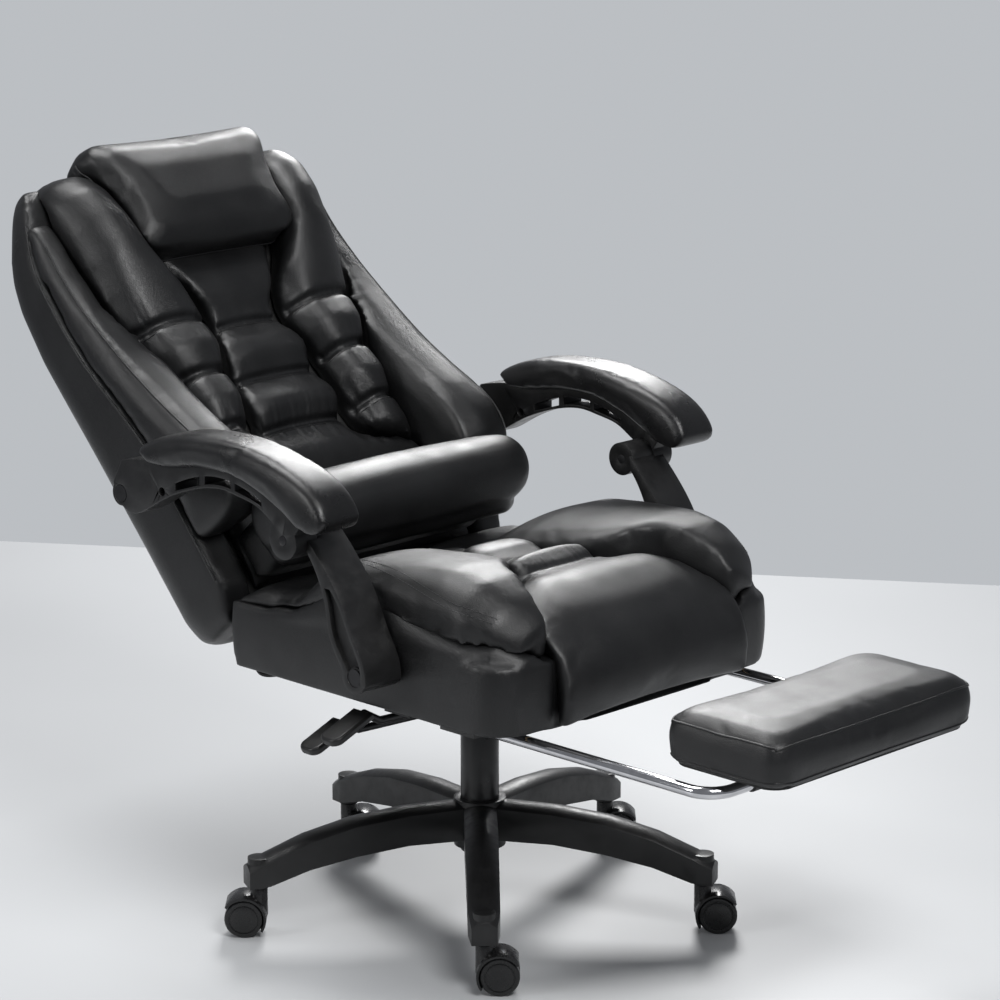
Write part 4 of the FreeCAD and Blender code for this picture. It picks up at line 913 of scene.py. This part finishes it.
@dataclass
class Back:
    """The leaned back: rear shell, cushions, side panels, head and lumbar pillows."""

    shop: Shop
    seams: Seamwork
    body: str = "back"
    centre_channels: tuple[float, ...] = (391.0, 305.0, 226.0)
    bolster_channels: tuple[float, ...] = (400.0, 318.0, 235.0)
    bolster_inner: tuple[float, ...] = (64.0, 78.0, 84.0)
    bolster_outer: tuple[float, ...] = (212.0, 196.0, 186.0)
    rear_edge: tuple = (
        (500.0, -121.0, 258.0, 60.0), (523.0, -119.0, 258.0, 60.0), (560.0, -107.0, 257.0, 58.0),
        (584.0, -90.0, 255.0, 52.0), (608.0, -66.0, 251.0, 42.0), (628.0, -46.0, 245.0, 28.0),
        (644.0, -33.0, 236.0, 18.0), (652.0, -27.0, 228.0, 12.0))
    wing_edge: tuple = (
        (120.0, 112.0), (166.0, 116.0), (199.0, 106.0), (284.0, 72.0),
        (366.0, 44.0), (452.0, 23.0), (516.0, 17.0), (560.0, 18.0))
    rear_seam: tuple = (
        (44.0, 12.0), (150.0, 13.0), (246.0, 12.0), (323.0, -3.0), (388.0, -17.0),
        (450.0, -23.0), (523.0, -23.0), (560.0, -16.0), (584.0, -5.0), (606.0, 5.0))
    head_outline: tuple = (
        (159.0, 662.0), (151.0, 605.0), (145.0, 548.0), (141.0, 520.0), (126.0, 505.0), (70.0, 502.0))

    def centre(self) -> None:
        """Makes the padded strip down the middle, with its sewn channels."""
        pinches = []
        for s, half in zip(self.centre_channels, self.bolster_inner):
            line = [back_point(x * half, s + 4.0 * (1 - x * x), 22.0) for x in (-1.1, -0.5, 0.0, 0.5, 1.1)]
            pinches.append(Pinch(line, 6.0, 5.5, 1.2, 15.0, 22.0))
        pad = Pad("back_center_pad", self.body, 5.5, 4, 4.0, 9.0, pinches=pinches)
        strip = pad.make(self.shop, 1.0)
        for index, (s, half) in enumerate(zip(self.centre_channels, self.bolster_inner)):
            across = (-0.92, -0.5, 0.0, 0.5, 0.92)
            line = [back_point(x * half, s - 6.0 + 4.0 * (1 - x * x), 22.0) for x in across]
            self.seams.welt("back_channel_%d" % (index + 1), strip, self.body, line, 0.8, lift=0.1)

    def bolsters(self) -> None:
        """Makes the two tall side bolsters, with their sewn channels."""
        channels = list(zip(self.bolster_channels, self.bolster_inner, self.bolster_outer))
        for side in Side:
            sign = side.value
            pinches = []
            for s, inner, outer in channels:
                ends = ((inner, s - 3.0, 28.0), ((inner + outer) / 2, s + 2.0, 52.0), (outer, s - 2.0, 30.0))
                line = [back_point(sign * x, *rest) for x, *rest in ends]
                pinches.append(Pinch(line, 6.5, 6.0, 1.3, 15.0, 26.0))
            node = "back_bolster_" + side.label
            pad = Pad(node, self.body, 6.0, 4, 4.0, 9.0, pinches=pinches)
            roll = pad.make(self.shop, 2.0 + sign * 0.5)
            for index, (s, inner, outer) in enumerate(channels):
                middle = (inner + outer) / 2
                ends = ((inner + 6.0, s - 9.0, 34.0), (middle, s - 5.0, 52.0), (outer - 8.0, s - 9.0, 36.0))
                line = [back_point(sign * x, *rest) for x, *rest in ends]
                name = "bolster_channel_%s_%d" % (side.label, index + 1)
                self.seams.welt(name, roll, self.body, line, 0.8, lift=0.1)

    def tuck(self, piece: Piece, inset: float) -> None:
        """Brings points that stand past the shell's rounded rear edge back onto it.

        Args:
            piece: The piece, a shell or a wing.
            inset: How far inside the edge they end, in millimetres.
        """
        spots = places(piece.data)
        up = back_point(0.0, 1.0, 0.0) - HINGE
        ahead = back_point(0.0, 0.0, 1.0) - HINGE
        from_hinge = (spots - np.array(HINGE)) / MM
        s = from_hinge @ (np.array(up) / MM)
        t = from_hinge @ (np.array(ahead) / MM)
        heights, rears, widths, rounds = (np.array(row) for row in zip(*self.rear_edge))
        rear, width, radius = (np.interp(s, heights, row) for row in (rears, widths, rounds))
        depth = np.clip(rear + radius - t, 0.0, radius)
        limit = width - radius + np.sqrt(np.maximum(radius ** 2 - depth ** 2, 0.0)) - inset
        outside = (s > heights[0]) & (depth > 0.0) & (np.abs(spots[:, 0]) / MM > limit)
        spots[outside, 0] = np.sign(spots[outside, 0]) * limit[outside] * MM
        move_to(piece.data, spots)

    def side_panels(self) -> None:
        """Makes the long wings beside the cushions, with a welt down the front edge."""
        for side in Side:
            sign = side.value
            pad = Pad("back_side_panel_" + side.label, self.body, 5.0, 5, 3.0, 4.0, swells=0.5)
            panel = pad.make(self.shop, 4.0 + sign)
            self.tuck(panel, 0.5)
            line = [back_point(sign * 252.0, s, t) for s, t in self.wing_edge]
            self.seams.welt("side_panel_welt_" + side.label, panel, self.body, line, 1.3)

    def rear(self) -> None:
        """Makes the padded rear shell with the seam down each side."""
        pad = Pad("back_rear_shell", self.body, 6.0, 8, cap=0.0, fill=0.8, swells=0.8, swell_size=160.0)
        shell = pad.make(self.shop, 6.0)
        self.tuck(shell, 0.0)
        for side in Side:
            line = [back_point(side.value * 259.0, s, t) for s, t in self.rear_seam]
            self.seams.welt("rear_seam_" + side.label, shell, self.body, line, 1.6)

    def head_pillow(self) -> None:
        """Makes the pillow at the top, with the welt round its sides and lower edge."""
        pad = Pad("headrest_pillow", self.body, 5.0, 6, 2.5, 4.0, fill=0.8, swells=0.5)
        pillow = pad.make(self.shop, 8.0)
        line = [back_point(-x, s, 34.0) for x, s in self.head_outline]
        line += [back_point(x, s, 34.0) for x, s in self.head_outline[::-1]]
        self.seams.welt("headrest_welt", pillow, self.body, line, 1.6)

    def lumbar(self) -> None:
        """Makes the roll at the small of the back."""
        pad = Pad("lumbar_pillow", self.body, 6.0, 4, 4.0, 6.0, fill=0.8, swells=1.0)
        pad.make(self.shop, 9.0)

    def build(self) -> None:
        """Builds the whole back."""
        self.rear()
        self.side_panels()
        self.bolsters()
        self.centre()
        self.head_pillow()
        self.lumbar()
        # The board's near-black tone is painted shade for the dark gap between the back and the seat.
        self.shop.dress_node("back_board", "shade_darkened_board")
        self.shop.dress_node("back_hinge_brackets", "black_steel")
        self.shop.dress_node("arm_rear_bolts", "dark_steel")


# Seat

@dataclass
class Seat:
    """The seat box with its wings, centre strip and boxing."""

    shop: Shop
    seams: Seamwork
    body: str = "seat"
    channels: tuple[float, ...] = (20.0, -78.0, -141.0)
    strip_half: tuple[float, ...] = (50.0, 61.0, 85.0)
    strip_height: tuple[float, ...] = (470.0, 483.0, 487.0)
    stitch_line: tuple = (
        (224.0, 10.0, 507.0), (235.0, -52.0, 514.0), (244.0, -106.0, 511.0),
        (250.0, -163.0, 501.0), (250.0, -204.0, 492.0), (235.0, -258.0, 484.0))

    def centre(self) -> None:
        """Makes the strip between the wings and the front panel that it widens to."""
        pinches = []
        for y, half, z in zip(self.channels, self.strip_half, self.strip_height):
            line = [seat_point(x * half, y - 5.0 * (1 - x * x), z) for x in (-1.1, -0.5, 0.0, 0.5, 1.1)]
            pinches.append(Pinch(line, 4.0, 6.5, 0.9, 16.0, 22.0))
        pad = Pad("seat_center_pad", self.body, 6.0, 5, 4.0, 8.0, pinches=pinches, swells=1.2)
        pad.make(self.shop, 11.0)

    def wings(self) -> None:
        """Makes the two thigh wings, with the double row of stitches along the lower edge."""
        for side in Side:
            sign = side.value
            pad = Pad("seat_bolster_" + side.label, self.body, 6.0, 6, 3.0, 5.0, swells=0.6)
            wing = pad.make(self.shop, 13.0 + sign)
            for row, inward in (("lower", 0.0), ("upper", 8.0)):
                line = [seat_point(sign * (x - inward), y, z + inward / 2) for x, y, z in self.stitch_line]
                self.seams.stitch("wing_stitches_%s_%s" % (row, side.label), wing, self.body, line)

    def boxing(self) -> None:
        """Makes the upholstered box round the seat."""
        pad = Pad("seat_boxing", self.body, 5.0, 4, cap=0.0, fill=0.8, swells=0.5, swell_size=130.0)
        pad.make(self.shop, 15.0)

    def build(self) -> None:
        """Builds the whole seat."""
        self.boxing()
        self.wings()
        self.centre()
        self.shop.dress_node("seat_board", "plywood")
        self.shop.dress_node("seat_dust_cover", "liner")


# Arms

@dataclass
class Arms:
    """The linked armrests: frames, pads, struts and pins."""

    shop: Shop

    def build(self) -> None:
        """Builds both arms."""
        for side in Side:
            body = "arm_" + side.label
            self.shop.hard_piece("arm_frame_" + side.label, body, "black_plastic", bevel=1.2 * MM)
            strut = "strut_" + side.label
            self.shop.hard_piece("arm_" + strut, strut, "black_plastic", bevel=1.4 * MM)
            self.shop.hard_piece("knuckle_pin_" + side.label, body, "dark_steel", "steel")
            pad = Pad("arm_pad_" + side.label, body, 4.0, 10, 3.0, 2.0, fill=0.9, swells=0.3, finish="soft_pad")
            pad.make(self.shop, 20.0 + side.value)


# Footrest

@dataclass
class Footrest:
    """The pull-out footrest: chromed frame, clips, board and pad."""

    shop: Shop
    seams: Seamwork
    half_width: float = 188.5
    front: float = -659.0
    rear: float = -479.0
    seam_height: float = 408.0
    low_seam_height: float = 358.0
    corner: float = 26.0
    corner_share: float = 0.3

    def outline(self, height: float) -> Points:
        """Gives the pad's outline at a height.

        Args:
            height: In millimetres.

        Returns:
            Points round the pad.
        """
        x, c = self.half_width, self.corner
        cut = c * self.corner_share
        ring = (
            (x - c, self.front), (x - cut, self.front + cut), (x, self.front + c),
            (x, self.rear - c), (x - cut, self.rear - cut), (x - c, self.rear))
        left = [seat_point(px, py, height) for px, py in ring]
        right = [seat_point(-px, py, height) for px, py in ring[::-1]]
        return left + right

    def build(self) -> None:
        """Builds the footrest."""
        body = "footrest_panel"
        pad = Pad("footrest_pad", body, 4.5, 2, 2.0, 2.5, fill=0.8, swells=0.4, swell_size=80.0)
        cushion = pad.make(self.shop, 30.0)
        self.seams.welt("footrest_welt_top", cushion, body, self.outline(self.seam_height), 1.5, closed=True)
        self.seams.welt("footrest_welt_low", cushion, body, self.outline(self.low_seam_height), 1.2, closed=True)
        self.shop.hard_piece("footrest_frame", "footrest_slider", "chrome_tube")
        self.shop.hard_piece("footrest_clips", body, "black_plastic")
        self.shop.hard_piece("footrest_guides", "seat", "black_plastic")
        # The board's near-black tone is painted shade for where it shows under the pad.
        self.shop.dress_node("footrest_board", "shade_darkened_board")


# Base, lift and mechanism

@dataclass
class Undercarriage:
    """The star base, casters, gas lift, mechanism and hand levers."""

    shop: Shop
    casters: int = 5

    def base(self) -> None:
        """Dresses the star base and its casters."""
        self.shop.hard_piece("star_base", "base", "black_plastic", bevel=1.6 * MM)
        self.shop.dress_node("caster_stems", "steel")
        for number in range(1, self.casters + 1):
            wheels = "caster_wheels_%d" % number
            self.shop.hard_piece("caster_hood_%d" % number, "caster_%d" % number, "caster_plastic")
            self.shop.hard_piece(wheels, wheels, "caster_plastic", bevel=0.4 * MM)

    def lift(self) -> None:
        """Dresses the gas lift."""
        self.shop.hard_piece("gas_outer_tube", "base", "black_steel")
        self.shop.hard_piece("gas_guide_sleeve", "base", "black_plastic")
        bright = ("thrust_bearing", "rod_clip", "gas_piston_rod", "gas_pressure_tube", "lift_release_button")
        for node in bright:
            self.shop.dress_node(node, "steel")

    def mechanism(self) -> None:
        """Dresses the mechanism, the chassis and the levers."""
        self.shop.hard_piece("mechanism_housing", "seat", "black_steel")
        self.shop.dress_node("seat_chassis", "black_steel")
        for node in ("mechanism_bolts", "hinge_pins", "strut_pivot_bolts"):
            self.shop.dress_node(node, "dark_steel")
        self.shop.dress_node("recline_cable", "cable_black")
        self.shop.dress_node("recline_clamp_lever", "black_steel")
        for lever in ("height_lever", "recline_lever"):
            self.shop.hard_piece(lever + "_rod", lever, "black_steel")
            self.shop.hard_piece(lever + "_paddle", lever, "black_plastic")

    def build(self) -> None:
        """Builds everything below the seat."""
        self.base()
        self.lift()
        self.mechanism()


# Studio

@dataclass
class Lamp:
    """A soft square lamp."""

    name: str
    place: tuple
    aim: tuple
    size: float
    watts: float

    def make(self) -> None:
        """Hangs the lamp and turns it to its aim."""
        light = bpy.data.lights.new(self.name, "AREA")
        light.shape = "RECTANGLE"
        light.size = self.size
        light.size_y = self.size
        light.energy = self.watts
        holder = bpy.data.objects.new(self.name, light)
        holder.location = self.place
        holder.rotation_euler = (Vector(self.aim) - Vector(self.place)).to_track_quat("-Z", "Y").to_euler()
        bpy.context.scene.collection.objects.link(holder)


@dataclass
class Studio:
    """Plain pale floor and backdrop, soft lamps and the camera at the photograph's angle."""

    camera_azimuth: float = -45.64
    camera_elevation: float = 13.87
    camera_distance: float = 4.5623
    camera_target: tuple = (0.03766, 0.0, 0.54291)
    focal_length: float = 127.72
    floor_half: float = 1.73
    floor_turn: float = 34.5
    floor_tone: tuple = (0.50, 0.51, 0.52)
    wall_tone: tuple = (0.50, 0.52, 0.545)
    surround: float = 0.22
    lamps: tuple = (
        Lamp("key", (-0.9, -2.4, 3.0), (0.0, 0.0, 0.5), 1.3, 85.0),
        Lamp("rim", (2.3, 1.9, 2.3), (0.0, 0.1, 0.6), 1.1, 80.0),
        Lamp("left_fill", (-3.0, 1.0, 1.7), (0.0, 0.1, 0.6), 1.0, 28.0),
        Lamp("top", (-0.2, 1.0, 3.1), (0.0, 0.0, 0.6), 1.2, 60.0))

    def floor(self) -> None:
        """Lays the pale floor, whose far edge meets the plain wall tone."""
        work = bmesh.new()
        turn = Matrix.Rotation(math.radians(self.floor_turn), 4, "Z")
        bmesh.ops.create_grid(work, x_segments=2, y_segments=2, size=self.floor_half, matrix=turn)
        mesh = bpy.data.meshes.new("studio_floor")
        work.to_mesh(mesh)
        work.free()
        piece = add_object("studio_floor", mesh)
        shader = Nodes("studio_floor")
        tone = shader.ramp(shader.noise(1.3, 3.0), 0.3, 0.7, (0.0, 1.0))
        shader.colour(tone, tuple(part * 0.97 for part in self.floor_tone), self.floor_tone)
        shader.shader.inputs["Roughness"].default_value = 0.45
        mesh.materials.append(shader.material)

    def world(self) -> None:
        """Sets the soft surrounding light and the pale background."""
        world = bpy.data.worlds.new("studio")
        bpy.context.scene.world = world
        world.use_nodes = True
        tree = world.node_tree
        tree.nodes.clear()
        output = tree.nodes.new("ShaderNodeOutputWorld")
        around = tree.nodes.new("ShaderNodeBackground")
        around.inputs["Color"].default_value = (0.90, 0.93, 1.0, 1.0)
        around.inputs["Strength"].default_value = self.surround
        seen = tree.nodes.new("ShaderNodeBackground")
        seen.inputs["Color"].default_value = (*self.wall_tone, 1.0)
        seen.inputs["Strength"].default_value = 1.0
        rays = tree.nodes.new("ShaderNodeLightPath")
        mix = tree.nodes.new("ShaderNodeMixShader")
        tree.links.new(rays.outputs["Is Camera Ray"], mix.inputs["Fac"])
        tree.links.new(around.outputs["Background"], mix.inputs[1])
        tree.links.new(seen.outputs["Background"], mix.inputs[2])
        tree.links.new(mix.outputs["Shader"], output.inputs["Surface"])

    def camera(self) -> None:
        """Puts the camera where the photograph was taken from."""
        azimuth = math.radians(self.camera_azimuth)
        elevation = math.radians(self.camera_elevation)
        target = Vector(self.camera_target)
        level = Vector((math.sin(azimuth), -math.cos(azimuth), 0.0)) * math.cos(elevation)
        back = level + Vector((0.0, 0.0, math.sin(elevation)))
        lens = bpy.data.cameras.new("camera")
        lens.sensor_width = 36.0
        lens.lens = self.focal_length
        lens.clip_end = 100.0
        holder = bpy.data.objects.new("camera", lens)
        holder.location = target + back * self.camera_distance
        holder.rotation_euler = (-back).to_track_quat("-Z", "Y").to_euler()
        bpy.context.scene.collection.objects.link(holder)
        bpy.context.scene.camera = holder

    def build(self) -> None:
        """Sets up the studio."""
        bpy.context.scene.view_settings.view_transform = "Standard"
        self.floor()
        self.world()
        self.camera()
        for lamp in self.lamps:
            lamp.make()


def main() -> None:
    """Builds the studio and every sub-assembly, in order."""
    Studio().build()
    shop = Shop()
    seams = Seamwork(shop)
    parts = (Undercarriage(shop), Seat(shop, seams), Footrest(shop, seams), Arms(shop), Back(shop, seams))
    for part in parts:
        part.build()


if __name__ == "__main__":
    main()
